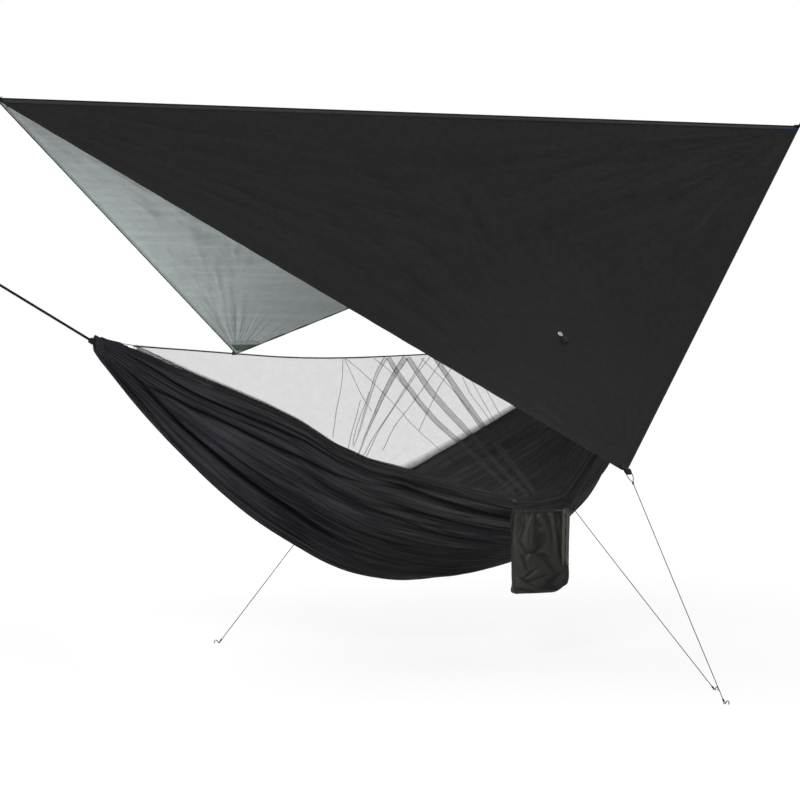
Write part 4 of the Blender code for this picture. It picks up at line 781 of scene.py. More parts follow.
# The hem's section: reach across it and height, and its faces that show the second cloth, by side and end
HEM_PROFILE = ((1.0, 0.0), (0.97, 0.75), (0.8, 1.0), (0.58, 0.9), (0.0, 0.35), (0.0, -0.35), (0.58, -0.9),
               (0.8, -1.0), (0.97, -0.75))
HEM_SHOWN = {(-1, 1): (1, 0, 0, 0, 0, 0, 0, 1, 1), (1, -1): (0, 0, 0, 1, 1, 1, 0, 0, 0)}


def hem_band(name, side, look, node):
    """The folded band down both free edges of a panel, with its rows of stitches."""
    body, _, slot = FLY_SIDES[side]
    lap = HEM_WIDTH * math.sqrt(2)
    fall = np.linspace(SEAM_DIAMETER / 2 + GAP, HALF_DIAGONAL - APEX_HALF_WIDTH, 90)
    outer = HALF_DIAGONAL - fall
    form, sewn = Form(), Form()
    for end in (-1, 1):
        ripple = 0.0006 * np.sin(fall * 70.0 + end)
        grid = np.stack([on_slope(side, end * (outer - lap * (1 - reach)), fall, height * 0.0014 + ripple)
                         for reach, height in HEM_PROFILE], 1)
        faces, corners = grid_faces(len(fall), len(HEM_PROFILE), True, end * side > 0)
        uv = np.stack([(fall * math.sqrt(2))[corners[..., 0]], corners[..., 1] * 0.003], -1)
        form.add(grid, faces, uv, np.tile(HEM_SHOWN.get((side, end), (0,) * 9), len(fall) - 1))
        for row in (-len(fall), -1):
            caps = np.array([(1, 2, 7, 8), (2, 3, 6, 7), (3, 4, 5, 6)]) + form.count + row * len(HEM_PROFILE)
            form.add_faces(caps, np.zeros((3, 4, 2)))
        for face in (-1, 1):
            line = on_slope(side, end * (outer - lap * 0.76), fall, face * 0.0015)
            add_stitches(sewn, line[2:-3], slope(side)[1] * face, 0.0075, 0.005, 0.0011)
    made = form.piece(name, body, [look, HEM_SILVER if side < 0 else FLY_SILVER], slot, [node])
    sewn.piece(name + "_stitches", body, [THREAD], slot)
    return made


# A patch's rolled edge and flat middle: size of each ring of it, and its height
PATCH_SHELLS = ((1.0, 0.0), (0.995, 0.8), (0.97, 1.0), (0.85, 1.0), (0.6, 1.0), (0.3, 1.0), (0.02, 1.0))


def patch_piece(name, side, look, outline, node):
    """A sewn-on patch: a thin plate with a rolled edge and stitches inside its outline."""
    body, _, slot = FLY_SIDES[side]
    outline = np.array(outline, float)
    middle = outline.mean(0)
    ring, area = [], 0.0
    for a, b in zip(outline, np.roll(outline, -1, 0)):
        steps = max(2, int(np.linalg.norm(b - a) / 0.006))
        ring += [a + (b - a) * i / steps for i in range(steps)]
        area += a[0] * b[1] - a[1] * b[0]
    ring = np.array(ring)
    base = FLY_THICKNESS / 2
    flat = np.array([middle + (ring - middle) * size for size, _ in PATCH_SHELLS])
    rows = []
    for places, (_, height) in zip(flat, PATCH_SHELLS):
        bumps = np.array([noise.noise(Vector((x * 60, y * 60, 1.0))) for x, y in places]) * 0.0003
        rows.append(on_slope(side, *places.T, -side * (base + (0.0011 + bumps) * height)))
    faces, corners = grid_faces(len(rows), len(ring), True, area < 0)
    form, sewn = Form(), Form()
    form.add(rows, faces, flat[corners[..., 0], corners[..., 1] % len(ring)])
    form.piece(name, body, [look], slot, [node])
    for size in (0.93, 0.87):
        line = middle + (np.concatenate([ring, ring[:1]]) - middle) * size
        places = on_slope(side, *line.T, -side * (base + 0.0013))
        add_stitches(sewn, places, -side * slope(side)[1], 0.0045, 0.0032, 0.0008)
    sewn.piece(name + "_stitches", body, [THREAD], slot)


PATCH_LAP = (HEM_WIDTH + 2 * GAP) * math.sqrt(2)
CORNER_LEG = 0.090
CROWN_SHARE = 0.3
RIDGE_LEG = 0.075


def corner_outline():
    """The patch in a panel's low corner, with a crown for its upper edge, as (along, fall)."""
    tip = HALF_DIAGONAL - PATCH_LAP - APEX_HALF_WIDTH
    top = tip - CORNER_LEG / math.sqrt(2)
    reach = HALF_DIAGONAL - PATCH_LAP - top
    crown = [(reach * math.cos(a), top + reach * math.sin(a) * CROWN_SHARE)
             for a in np.linspace(2 * math.pi, math.pi, 17)]
    return [(APEX_HALF_WIDTH, tip), *crown, (-APEX_HALF_WIDTH, tip)]


def ridge_outline(end):
    """The patch at one end of the ridge, as (along, fall)."""
    top = SEAM_DIAMETER / 2 + 2 * GAP
    tip = HALF_DIAGONAL - PATCH_LAP - top
    fall = RIDGE_LEG / math.sqrt(2)
    return [(end * tip, top), (end * (tip - RIDGE_LEG), top), (end * (tip + top - fall), fall)]


# The loop's own shape: shares of its length and of its height
LOOP_SHARES = ((0.45, 0.0), (0.75, 0.06), (0.92, 0.18), (1.0, 0.33), (1.0, 0.67), (0.92, 0.82), (0.75, 0.94),
               (0.45, 1.0), (0.2, 0.72))
LOOP_LENGTH, LOOP_HEIGHT, LOOP_THICKNESS = 0.030, 0.014, 0.0015


def webbing_piece(name, body, node, at, out, up, width=0.020, tail=0.028, look=WEBBING):
    """Webbing folded into a loop, with the bar tacks that hold its tails."""
    lap = LOOP_THICKNESS + GAP
    shape = [(-tail, 0), (-tail * 0.5, 0), (0, 0), *((x * LOOP_LENGTH, y * LOOP_HEIGHT) for x, y in LOOP_SHARES),
             (0, lap), (-tail * 0.5, lap), (-tail, lap)]
    curve = smooth_path([(x, y, 0) for x, y in shape], 60)
    out, up = Vector(out), Vector(up)
    placement = axes_at(Vector(at) + up * (LOOP_THICKNESS / 2 + GAP), out, out.cross(up))
    across = np.linspace(-0.5, 0.5, 7)
    cup = 0.0002 * np.cos(across * math.pi * 3)
    tangent = unit(np.gradient(curve, axis=0))
    side = np.stack([-tangent[:, 1], tangent[:, 0], 0 * tangent[:, 0]], -1)
    grid = curve[:, None] + side[:, None] * cup[None, :, None] + across[None, :, None] * np.array([0, 0, width])
    lengths = np.stack(np.broadcast_arrays(run_lengths(curve)[:, None], across[None, :] * width), -1)
    form, sewn = Form(), Form()
    add_sheet(form, placed(placement, grid), lengths, LOOP_THICKNESS * 0.92)
    form.piece(name, body, [look], "webbing_black", [node])
    high = lap + LOOP_THICKNESS / 2
    for place in (-0.15, -0.85):
        for shift in (0.0, 0.0012):
            line = [(place * tail + shift, high, z) for z in np.linspace(-width * 0.42, width * 0.42, 12)]
            add_stitches(sewn, placed(placement, line), up, 0.0016, 0.0014, 0.0009)
    for edge in (-0.4, 0.4):
        line = [(-share * tail, high, edge * width) for share in np.linspace(0.15, 0.85, 8)]
        add_stitches(sewn, placed(placement, line), up, 0.0028, 0.0020, 0.0008)
    sewn.piece(name + "_tacks", body, [THREAD_PALE], "webbing_black")


def seam_piece():
    """The ridge's rolled seam, with its taped band on the near panel and its stitches."""
    form = Form()
    ends = (RIDGE.x - HALF_DIAGONAL, 0, RIDGE.z), (RIDGE.x + HALF_DIAGONAL, 0, RIDGE.z)
    add_tube(form, line_points(*ends, count=160), SEAM_DIAMETER, 14)
    form.piece("ridge_seam", "slung", [FLY_BLACK], "fly_black", ["fly_ridge_seam"])
    for side, look, word in ((-1, SEAM_TAPE, "near"), (1, FLY_BLACK, "far")):
        band, sewn = Form(), Form()
        along = np.linspace(-1, 1, 220) * (HALF_DIAGONAL - 0.028)
        grid = np.stack([on_slope(side, along, fall + 0.0004 * np.sin(along * 55 + fall * 400), height)
                         for fall, height in ((0.0042, 0.0012), (0.0090, 0.0022), (0.0170, 0.0021), (0.0230, 0.0013))],
                        1)
        lengths = np.stack(np.broadcast_arrays(along[:, None], np.array([0.0, 0.004, 0.008, 0.012])[None, :]), -1)
        add_sheet(band, grid, lengths, 0.0008, flip=side > 0)
        band.piece(f"ridge_tape_{word}", f"{word}_fly", [look], "fly_black")
        for fall in (0.0070, 0.0205):
            add_stitches(sewn, on_slope(side, along, fall, 0.0026), slope(side)[1], 0.0080, 0.0055, 0.0009)
        sewn.piece(f"ridge_stitches_{word}", f"{word}_fly", [THREAD], "fly_black")


def build_fly():
    seam_piece()
    near = fly_panel("fly_cloth_near", -1, "fly_near_panel")
    far = fly_panel("fly_cloth_far", 1, "fly_far_panel")
    near_hem = hem_band("fly_hem_near", -1, FLY_BLACK, "fly_near_hem")
    far_hem = hem_band("fly_hem_far", 1, BINDING_GREEN, "fly_far_hem")
    for name, side, look, outline, node in (
            ("fly_patch_near", -1, FLY_BLACK, corner_outline(), "fly_near_patch"),
            ("fly_patch_far", 1, PATCH_GREEN, corner_outline(), "fly_far_patch"),
            ("fly_patch_far_head", 1, BINDING_GREEN, ridge_outline(-1), "fly_far_patch_head"),
            ("fly_patch_far_foot", 1, BINDING_GREEN, ridge_outline(1), "fly_far_patch_foot")):
        patch_piece(name, side, look, outline, node)
    for name, body, node, at, ways, more in (
            ("loop_near_corner", "near_fly", "fly_near_loop", (2.009188, -1.318221, -0.74063), slope(-1), ()),
            ("loop_far_corner", "far_fly", "fly_far_loop", (2.009188, 1.614276, -0.371902), slope(1), ()),
            ("loop_pull_tab", "near_fly", "fly_pull_tab", (2.050188, -0.858598, -0.266714), slope(-1),
             (0.015, 0.028, TAB_PALE)),
            ("loop_ridge_head", "slung", "ridge_loop_head", (0.1, 0, 0.6245), ((-1, 0, 0), (0, 0, 1)),
             (0.020, 0.028, CORNER_PALE)),
            ("loop_ridge_foot", "slung", "ridge_loop_foot", (3.918377, 0, 0.6245), ((1, 0, 0), (0, 0, 1)), ())):
        webbing_piece(name, body, node, at, *ways, *more)


build_fly()


# Bed
def crease(across, shares, spans, line, depth, width, lap=0.0):
    """A long fold along a line of (share, across) points: a groove, or one side lapped over the other."""
    runs, places = np.array(line).T
    centre = np.interp(shares, runs, places)
    away = (across - centre) * spans / width
    reach = runs[-1] - runs[0]
    fade = smooth_step(runs[0] - 0.03, runs[0] + 0.25 * reach, shares)
    fade = fade * (1 - smooth_step(runs[-1] - 0.3 * reach, runs[-1] + 0.04, shares))
    groove = -np.exp(-away**2)
    lapped = -away * np.exp(0.5 - 0.5 * away**2)
    return depth * fade * ((1 - lap) * groove + lap * lapped)


BED_CREASES = (
    (((0.008, 0.122), (0.047, 0.189), (0.087, 0.244), (0.124, 0.272), (0.197, 0.289), (0.28, 0.296), (0.34, 0.31)),
     0.020, 0.016, 0.75),
    (((0.02, 0.02), (0.073, 0.050), (0.104, 0.067), (0.132, 0.072), (0.20, 0.062), (0.30, 0.045)), 0.008, 0.011, 0.8),
    (((0.022, 0.20), (0.061, 0.19), (0.11, 0.155), (0.15, 0.135), (0.195, 0.122), (0.245, 0.118), (0.312, 0.100),
      (0.37, 0.070)), 0.009, 0.012, 0.8),
    (((0.38, 0.045), (0.414, 0.050), (0.465, 0.056), (0.523, 0.064), (0.60, 0.078)), 0.011, 0.016, 0.8),
    (((0.40, 0.020), (0.477, 0.019), (0.536, 0.019), (0.60, 0.026)), 0.005, 0.008, 0.8),
    (((0.25, 0.145), (0.357, 0.150), (0.43, 0.161), (0.493, 0.176), (0.58, 0.190)), 0.009, 0.020, 0.6),
    (((0.40, 0.115), (0.47, 0.122), (0.53, 0.128), (0.62, 0.14)), 0.010, 0.020, 0.7),
    (((0.03, 0.36), (0.10, 0.40), (0.18, 0.41), (0.30, 0.40), (0.40, 0.38)), 0.007, 0.014, 0.5),
    (((0.10, 0.21), (0.20, 0.235), (0.33, 0.25), (0.45, 0.245), (0.56, 0.24)), 0.006, 0.014, 0.5),
    (((0.15, 0.345), (0.25, 0.35), (0.38, 0.34), (0.50, 0.315)), 0.006, 0.016, 0.4),
    (((0.05, 0.10), (0.12, 0.11), (0.22, 0.085), (0.30, 0.075)), 0.005, 0.009, 0.5),
    (((0.66, 0.02), (0.72, 0.07), (0.80, 0.12), (0.92, 0.17)), 0.010, 0.016, 0.6),
    (((0.68, 0.10), (0.76, 0.17), (0.86, 0.24), (0.97, 0.30)), 0.012, 0.018, 0.6),
    (((0.62, 0.28), (0.74, 0.33), (0.86, 0.38), (0.97, 0.42)), 0.009, 0.018, 0.5),
    (((0.52, 0.97), (0.62, 0.95), (0.74, 0.90), (0.88, 0.84), (0.97, 0.80)), 0.009, 0.014, 0.5),
    (((0.50, 0.90), (0.62, 0.86), (0.76, 0.80), (0.95, 0.72)), 0.010, 0.018, 0.5),
    (((0.48, 0.82), (0.60, 0.78), (0.75, 0.72), (0.96, 0.62)), 0.009, 0.016, 0.5),
    (((0.03, 0.62), (0.15, 0.66), (0.30, 0.70), (0.46, 0.74)), 0.010, 0.018, 0.5),
    (((0.03, 0.80), (0.15, 0.82), (0.30, 0.86), (0.48, 0.93)), 0.010, 0.016, 0.6),
)


# Where the bed's folds are in their own shadow: line, width, darkness
BED_SHADES = (
    (((0.070, 0.230), (0.087, 0.250), (0.124, 0.280), (0.197, 0.297), (0.28, 0.303), (0.36, 0.320)), 0.014, 1.7),
    (((0.060, 0.210), (0.087, 0.241), (0.124, 0.268), (0.197, 0.286), (0.28, 0.294), (0.36, 0.312)), 0.009, 1.5),
    (((0.0, 0.012), (0.02, 0.018), (0.073, 0.048), (0.104, 0.065), (0.132, 0.070), (0.20, 0.060), (0.34, 0.038),
      (0.44, 0.032)), 0.0042, 1.2),
    (((0.022, 0.20), (0.061, 0.190), (0.11, 0.154), (0.15, 0.134), (0.195, 0.122), (0.245, 0.118), (0.312, 0.100),
      (0.40, 0.065)), 0.0045, 1.1),
    (((0.38, 0.041), (0.414, 0.046), (0.465, 0.052), (0.523, 0.060), (0.62, 0.078)), 0.0045, 1.0),
    (((0.30, 0.013), (0.40, 0.011), (0.477, 0.010), (0.536, 0.011), (0.64, 0.014)), 0.004, 1.1),
    (((0.0, 0.33), (0.03, 0.39), (0.09, 0.44), (0.20, 0.46)), 0.022, 0.7),
    (((0.40, 0.113), (0.47, 0.119), (0.53, 0.125), (0.62, 0.136)), 0.005, 0.8),
    (((0.458, 0.144), (0.521, 0.167), (0.574, 0.178)), 0.008, 0.6),
    (((0.03, 0.357), (0.10, 0.397), (0.18, 0.407), (0.30, 0.397), (0.40, 0.377)), 0.006, 0.7),
    (((0.10, 0.207), (0.20, 0.232), (0.33, 0.247), (0.45, 0.242), (0.56, 0.237)), 0.004, 0.6),
    (((0.25, 0.142), (0.357, 0.147), (0.43, 0.158), (0.493, 0.173), (0.58, 0.187)), 0.005, 0.6),
    (((0.02, 0.075), (0.06, 0.105), (0.12, 0.108), (0.20, 0.090), (0.30, 0.066)), 0.003, 0.7),
    (((0.16, 0.040), (0.24, 0.033), (0.34, 0.022), (0.44, 0.020)), 0.003, 0.8),
)


def across_lengths(grid):
    """Lengths across a grid of points, from its first column to each point."""
    return np.stack([run_lengths(row) for row in grid])


def bed_sheet():
    """The bed's cloth: its section between the two edges, pushed out and in by its folds."""
    half = np.linspace(0, 1, 300)
    shares = BED_START + (1 - 2 * BED_START) * (half - 0.35 * np.sin(2 * math.pi * half) / (2 * math.pi))
    across = np.concatenate([np.linspace(0, 0.5, 240)[:-1], np.linspace(0.5, 1, 150)])
    near, far = edge_places(-1, shares), edge_places(1, shares)
    low = HEAD.z - BED_DEPTH * through(BOTTOM_SHARES, shares)
    cos, sin = np.cos(math.pi * across), np.sin(math.pi * across)
    edge = np.where((across <= 0.5)[None, :, None], near[:, None], far[:, None])
    y = edge[..., 1] * np.abs(cos) ** SECTION_POWER
    z = edge[..., 2] + (low[:, None] - edge[..., 2]) * sin ** SECTION_POWER
    grid = np.stack([np.broadcast_to(near[:, :1], y.shape), y, z], -1)
    lengths = across_lengths(grid)
    spans = lengths[:, -1:]
    s, a = shares[:, None], across[None, :]
    size = np.minimum(1.0, 0.25 + np.abs(near[:, 1]) / 0.080)[:, None]
    push = 0.0075 * size * np.sin(2 * math.pi * 5.5 * a + 2.4 * s) * sin[None, :] ** 0.6
    ends = np.minimum(s, 1 - s)
    gathers = np.sin(2 * math.pi * (27 * a + 0.6 * np.sin(5 * a + 9 * s)))
    push = push + (0.0022 * np.exp(-ends / 0.10) + 0.0008 * np.exp(-ends / 0.5)) * gathers * sin[None, :] ** 0.3
    second = np.sin(2 * math.pi * (16.5 * a + 0.9 * s + 0.35 * np.sin(11 * a)))
    push = push + 0.0022 * smooth_step(0.03, 0.12, ends) * np.exp(-ends / 0.35) * second * sin[None, :] ** 0.5
    hold = smooth_step(0.0, 0.03, a) * smooth_step(0.0, 0.03, 1 - a) * smooth_step(0.0, 0.02, ends)
    for line, depth, wide, lap in BED_CREASES:
        push = push + crease(a, s, spans, line, depth, wide, lap) * hold
    streak = np.array([[noise.fractal(Vector((12 * si, 95 * ai, 0.3)), 0.9, 2.1, 3) for ai in across]
                       for si in shares[::3]])
    streak = sampled(shares, shares[::3], streak)
    push = push + 0.0016 * streak * hold * smooth_step(0.03, 0.15, ends)
    for tie, place in ((NEAR_TIE, 0.0), (FAR_TIE, 1.0)):
        run, drop = (s - tie) * SPAN, np.abs(a - place) * spans
        reach = np.hypot(run, drop)
        push = push + 0.005 * np.exp(-reach / 0.16) * np.cos(13 * np.arctan2(run, drop + 1e-6)) * hold
    thin = np.array([[1 - abs(noise.noise(Vector((5.5 * si, 75 * ai + 2.5 * math.sin(4 * si), 4.4)))) * 2.4
                      for ai in across] for si in shares[::4]])
    thin = np.clip(sampled(shares, shares[::4], thin), 0, 1) ** 6
    faint = np.array([[noise.noise(Vector((3.0 * si, 11 * ai, 8.8))) for ai in across[::4]] for si in shares[::8]])
    faint = sampled(shares, shares[::8], sampled(across, across[::4], faint.T).T)
    inward = thin * 0.0016 * hold - push
    grid[..., 1] += cos[None, :] * inward
    grid[..., 2] += sin[None, :] * inward
    # Painted shade in the hollows of the folds and along the thin creases, varied by the faint noise
    shade = np.clip(hollows(push, 4) / 0.0012, 0, 1) * 0.34 + np.clip(hollows(push, 13) / 0.008, 0, 1) * 0.12
    shade = shade + thin * (0.55 + 0.6 * faint)
    # Painted shade on the outer face of the near half: darker low down and towards the foot, and near black beyond the
    # sack
    outer_painted_shade = smooth_step(0.15, 0.36, a) * smooth_step(0.22, 0.60, s) * 0.50
    outer_painted_shade = outer_painted_shade + 0.95 * smooth_step(0.615, 0.635, s)
    outer_painted_shade = outer_painted_shade + 0.30 * smooth_step(0.24, 0.36, a) * (1 - smooth_step(0.3, 0.5, s))
    outer_painted_shade = outer_painted_shade + 0.40 * smooth_step(0.50, 0.60, s) * smooth_step(0.12, 0.24, a)
    outer_painted_shade = np.where(a < 0.5, outer_painted_shade, 0.0)
    for line, wide, dark in BED_SHADES:
        shade = shade + dark * crease(a, s, spans, line, -1.0, wide) * hold
    # Painted shade and light along the streaks' relief
    shade = shade + 0.22 * np.clip(streak, -1, 1)
    shades = np.clip(np.stack([shade + outer_painted_shade, shade]), 0, 0.97)
    form = Form()
    uv = np.stack([np.broadcast_to(shares[:, None] * SPAN, lengths.shape), lengths], -1)
    add_sheet(form, grid, uv, BED_THICKNESS * 0.8)
    made = form.piece("bed_cloth", "slung", [BED_NYLON], "black_nylon", ["bed"], shade=shades,
                      fan=np.stack([np.broadcast_to(a, shade.shape)] * 2))
    return made, sheet_area(grid)


bed, bed_area = bed_sheet()


# The sleeve's profile: share of its depth, size of the ring, depth of its pleats
SLEEVE_PROFILE = ((0.0, 0.16, 0.0), (0.0, 0.4, 0.25), (0.0, 0.72, 0.6), (0.0, 0.97, 0.9), (0.05, 1.0, 1.0),
                  (0.25, 1.0, 1.0), (0.5, 1.0, 1.0), (0.75, 1.0, 1.0), (1.0, 1.0, 1.0), (1.2, 1.0, 1.0),
                  (1.4, 1.01, 1.0), (1.41, 0.97, 0.9))


def end_sleeve(name, node, at, inward):
    """The end's gathered sleeve: bunched pleats round it, drawn into the middle of its face."""
    top, bottom, half_width, pleats = 0.030, 0.038, 0.020, 17
    middle, half_height = (top - bottom) / 2, (top + bottom) / 2
    sides = pleats * 10
    angle = turns(sides)
    held = np.array([BED_START if inward > 0 else 1 - BED_START])
    rim, crest = edge_places(-1, held)[0], between_stations(ridge_curve, held)[0]
    base = HEAD.z - BED_DEPTH * float(through(BOTTOM_SHARES, held)[0])

    def section(run):
        """Half width, half height and middle of the funnel at a share of the sleeve's depth."""
        share = min(1.0, max(0.0, (run - 0.05) / 0.95))
        rise, drop = crest[2] - at[2] + 0.003, base - at[2] - 0.003
        return (half_width + share * (abs(rim[1]) + 0.003 - half_width),
                half_height + share * ((rise - drop) / 2 - half_height), middle + share * ((rise + drop) / 2 - middle))

    rows = []
    for run, size, ripple in SLEEVE_PROFILE:
        swirl = angle + 0.35 * (1 - min(size, 1.0))
        swell = size * (1 + 0.022 * ripple * np.sin(pleats * swirl) + 0.008 * ripple * np.sin(7 * swirl + 1.3))
        dish = 0.0015 * np.sin(pleats * swirl + 0.8) * ripple * (size < 0.95)
        wide, high, level = section(run)
        rows.append(np.stack([inward * (run * SLEEVE_DEPTH + dish), wide * swell * np.cos(angle),
                              level + high * swell * np.sin(angle)], -1))
    faces, corners = grid_faces(len(rows), sides, True, inward < 0)
    form, sewn = Form(), Form()
    form.add(np.array(rows) + np.array(at), faces, corners * (0.004, 0.001))
    # Painted shade in the grooves of the pleats and on the sleeve's underside
    pleat_shade = 0.5 - 0.5 * np.sin(pleats * angle)
    pleat_shade = np.clip(pleat_shade, 0, 1) ** 3 * 0.6 + 0.5 * smooth_step(0.65, 1.0, -np.sin(angle))
    pleat_shade = np.broadcast_to(np.clip(pleat_shade, 0, 0.95), (len(rows), sides))
    form.piece(name, "slung", [BED_NYLON], "black_nylon", [node], shade=pleat_shade,
               fan=np.broadcast_to(angle / 6.5, (len(rows), sides)))
    wide, high, level = section(0.5)
    closed = np.append(angle, 0)
    normal = np.stack([0 * closed, np.cos(closed), np.sin(closed)], -1)
    ring = normal * (0, wide * 1.035, high * 1.035) + (inward * SLEEVE_DEPTH * 0.5, 0, level) + np.array(at)
    add_stitches(sewn, ring, normal, 0.0050, 0.0036, 0.0010)
    sewn.piece(name + "_stitches", "slung", [THREAD_PALE], "black_nylon")


def end_gather(name, end):
    """The cloth drawn together between the sleeve, the bed's two edges and the net's cord."""
    form, dark = Form(), []
    for side in (-1, 1):
        level, run = np.linspace(0, 1, 70)[None, :], np.linspace(0, 1, 60)[:, None]
        reach = 0.040 + (0.135 if side < 0 else 0.10) * (1 - level) ** 2.6
        shares = BED_START + (reach - BED_START) * run
        held = np.clip(shares if end < 0 else 1 - shares, STATIONS[0], STATIONS[-1]).ravel()
        edge, up, out, height = edge_frames(held, side)
        turn = np.broadcast_to(level, shares.shape)
        swell = 0.0022 * np.sin(2 * math.pi * (9.5 * turn + 0.5 * np.sin(6 * turn) + 3 * shares))
        swell = swell + 0.006 * np.exp(-run / 0.5) * np.sin(math.pi * level) + 0.004 * (1 - level) * run
        places = edge + up * ((height + 0.003) * turn.ravel())[:, None] + out * swell.ravel()[:, None]
        lengths = np.stack([shares * SPAN, turn * 0.09], -1)
        add_sheet(form, places.reshape(*shares.shape, 3), lengths, 0.0012, flip=(side < 0) == (end < 0))
        # Painted shade in the hollows of the gathered folds
        dark += [(np.clip(hollows(swell, 4) / 0.0012, 0, 1) * 0.7).ravel()] * 2
    form.piece(name, "slung", [BED_NYLON], "black_nylon", shade=np.concatenate(dark))


end_gather("gather_head", -1)
end_gather("gather_foot", 1)
end_sleeve("sleeve_head", "head_sleeve", tuple(HEAD), 1)
end_sleeve("sleeve_foot", "foot_sleeve", tuple(FOOT), -1)


# Hems, zip and nets
def finer_shares(steps):
    held = STATIONS[(STATIONS >= EDGE_START - 1e-6) & (STATIONS <= 1 - EDGE_START + 1e-6)]
    return np.unique(np.concatenate([np.linspace(low, high, steps + 1) for low, high in zip(held, held[1:])]))


def strip_piece(name, node, side, start, height, thickness, look, slot, ripple=0.0):
    """A band along one of the bed's edges, from its start up the slope of the net."""
    shares, levels = finer_shares(12), np.linspace(0, 1, 5)
    edge, up, out, _ = edge_frames(shares, side)
    runs = shares * SPAN
    wave = ripple * np.sin(runs * 95) + 0.5 * ripple * np.sin(runs * 41 + 1)
    grid = (edge[:, None] + up[:, None] * (start + height * levels)[None, :, None]
            + out[:, None] * (wave[:, None] * np.sin(levels * math.pi)[None, :])[..., None])
    form = Form()
    add_sheet(form, grid, np.stack(np.broadcast_arrays(runs[:, None], (height * levels)[None, :]), -1), thickness,
              flip=side < 0)
    form.piece(name, "slung", [look], slot, [node])
    return edge, up, out


# A zip tooth: its corners in its own half sizes, and its faces
TOOTH = ((-1, -1, 0), (1, -1, 0), (1, 1, 0), (-1, 1, 0), (-0.7, -0.8, 1), (0.7, -0.8, 1), (0.7, 0.8, 1), (-0.7, 0.8, 1))
TOOTH_FACES = np.array([(0, 1, 5, 4), (1, 2, 6, 5), (2, 3, 7, 6), (3, 0, 4, 7), (4, 5, 6, 7), (3, 2, 1, 0)])
TOOTH_PITCH = 0.0030


def build_edges():
    for side, word in ((-1, "near"), (1, "far")):
        edge, up, out = strip_piece(f"hem_{word}", f"{word}_hem", side, HEM_START - 0.0012, HEM_HEIGHT + 0.0018,
                                    0.0026, HEM_NYLON, "black_nylon", 0.0005)
        sewn = Form()
        for share in (0.22, 0.8):
            for face in (-1, 1):
                line = edge + up * (HEM_START + HEM_HEIGHT * share) + out * face * 0.0014
                add_stitches(sewn, line, out * face, 0.0060, 0.0042, 0.0009)
        sewn.piece(f"hem_{word}_stitches", "slung", [THREAD_PALE], "black_nylon")
    edge, up, out = strip_piece("zip_band", "zip_tape", -1, ZIP_START - 0.001, ZIP_HEIGHT + 0.002, 0.0009,
                                ZIP_WEBBING, "webbing_black")
    line = edge + up * (ZIP_START + ZIP_HEIGHT / 2)
    runs = run_lengths(line)
    at = np.arange(0.01, runs[-1] - 0.01, TOOTH_PITCH)
    middle, ups, outs = sampled(at, runs, line), unit(sampled(at, runs, up)), unit(sampled(at, runs, out))
    ways = unit(np.gradient(middle, axis=0))
    coil = Form()
    for reach in (-0.0010, 0.0010):
        centre = middle + ups * reach + outs * 0.0008
        points = np.stack([centre + ways * dx * 0.0011 + ups * dy * 0.0012 + outs * dz * 0.0008
                           for dx, dy, dz in TOOTH], 1)
        faces = TOOTH_FACES[None] + (np.arange(len(at)) * len(TOOTH))[:, None, None]
        coil.add(points, faces, np.zeros((*faces.shape, 2)))
    coil.piece("zip_teeth", "slung", [PLASTIC], "webbing_black", smooth=False)


build_edges()

NET_FOLDS = ((0.358, 0.476), (0.362, 0.509), (0.366, 0.545), (0.611, 0.476), (0.611, 0.509), (0.621, 0.55),
             (0.631, 0.611))


def net_push(side, shares, rises, height):
    """How far the net stands out of its plane at shares of the span and shares of its rise."""
    swell = np.sin(math.pi * rises)
    push = -NET_BELLY * swell * np.minimum(1.0, height / (FAR_DEPTH / 2))
    if side < 0:
        for foot, top in NET_FOLDS:
            away = (shares - (foot + (top - foot) * rises)) / 0.016
            push = push + 0.005 * np.exp(-away**2) * np.maximum(swell, 0) ** 0.5
    push = push + 0.0018 * swell * np.sin(shares * 150 + 14 * rises) * np.sin(shares * 23 + side)
    push = push + 0.0012 * (1 - rises) * np.sin(shares * 420) * smooth_step(0, 0.1, rises)
    return push


def net_places(side, shares, rises, lift=0.0):
    """Points on a net at shares of the span and of its rise, any lift out of it included."""
    shares, rises = np.broadcast_arrays(shares, rises)
    shape = shares.shape
    shares, rises = shares.ravel(), rises.ravel()
    edge, up, out, height = edge_frames(shares, side)
    push = net_push(side, shares, rises, height) + lift
    start, top = (NEAR_NET_START if side < 0 else FAR_NET_START) - 0.004, CORD / 2 + GAP
    places = edge + up * (start + (height - top - start) * rises)[:, None] + out * push[:, None]
    return places.reshape(*shape, 3)


def net_piece(name, node, side):
    """A net panel, and its area."""
    shares, rises = finer_shares(9), np.linspace(0, 1, 34)
    grid = net_places(side, shares[:, None], rises[None, :])
    lengths = np.stack(np.broadcast_arrays(shares[:, None] * SPAN, across_lengths(grid)), -1)
    faces, corners = grid_faces(len(shares), len(rises), flip=side > 0)
    form = Form()
    form.add(grid, faces, lengths[corners[..., 0], corners[..., 1]])
    return form.piece(name, "slung", [NET], "net_grey", [node]), sheet_area(grid)


LAP_POINTS = 40


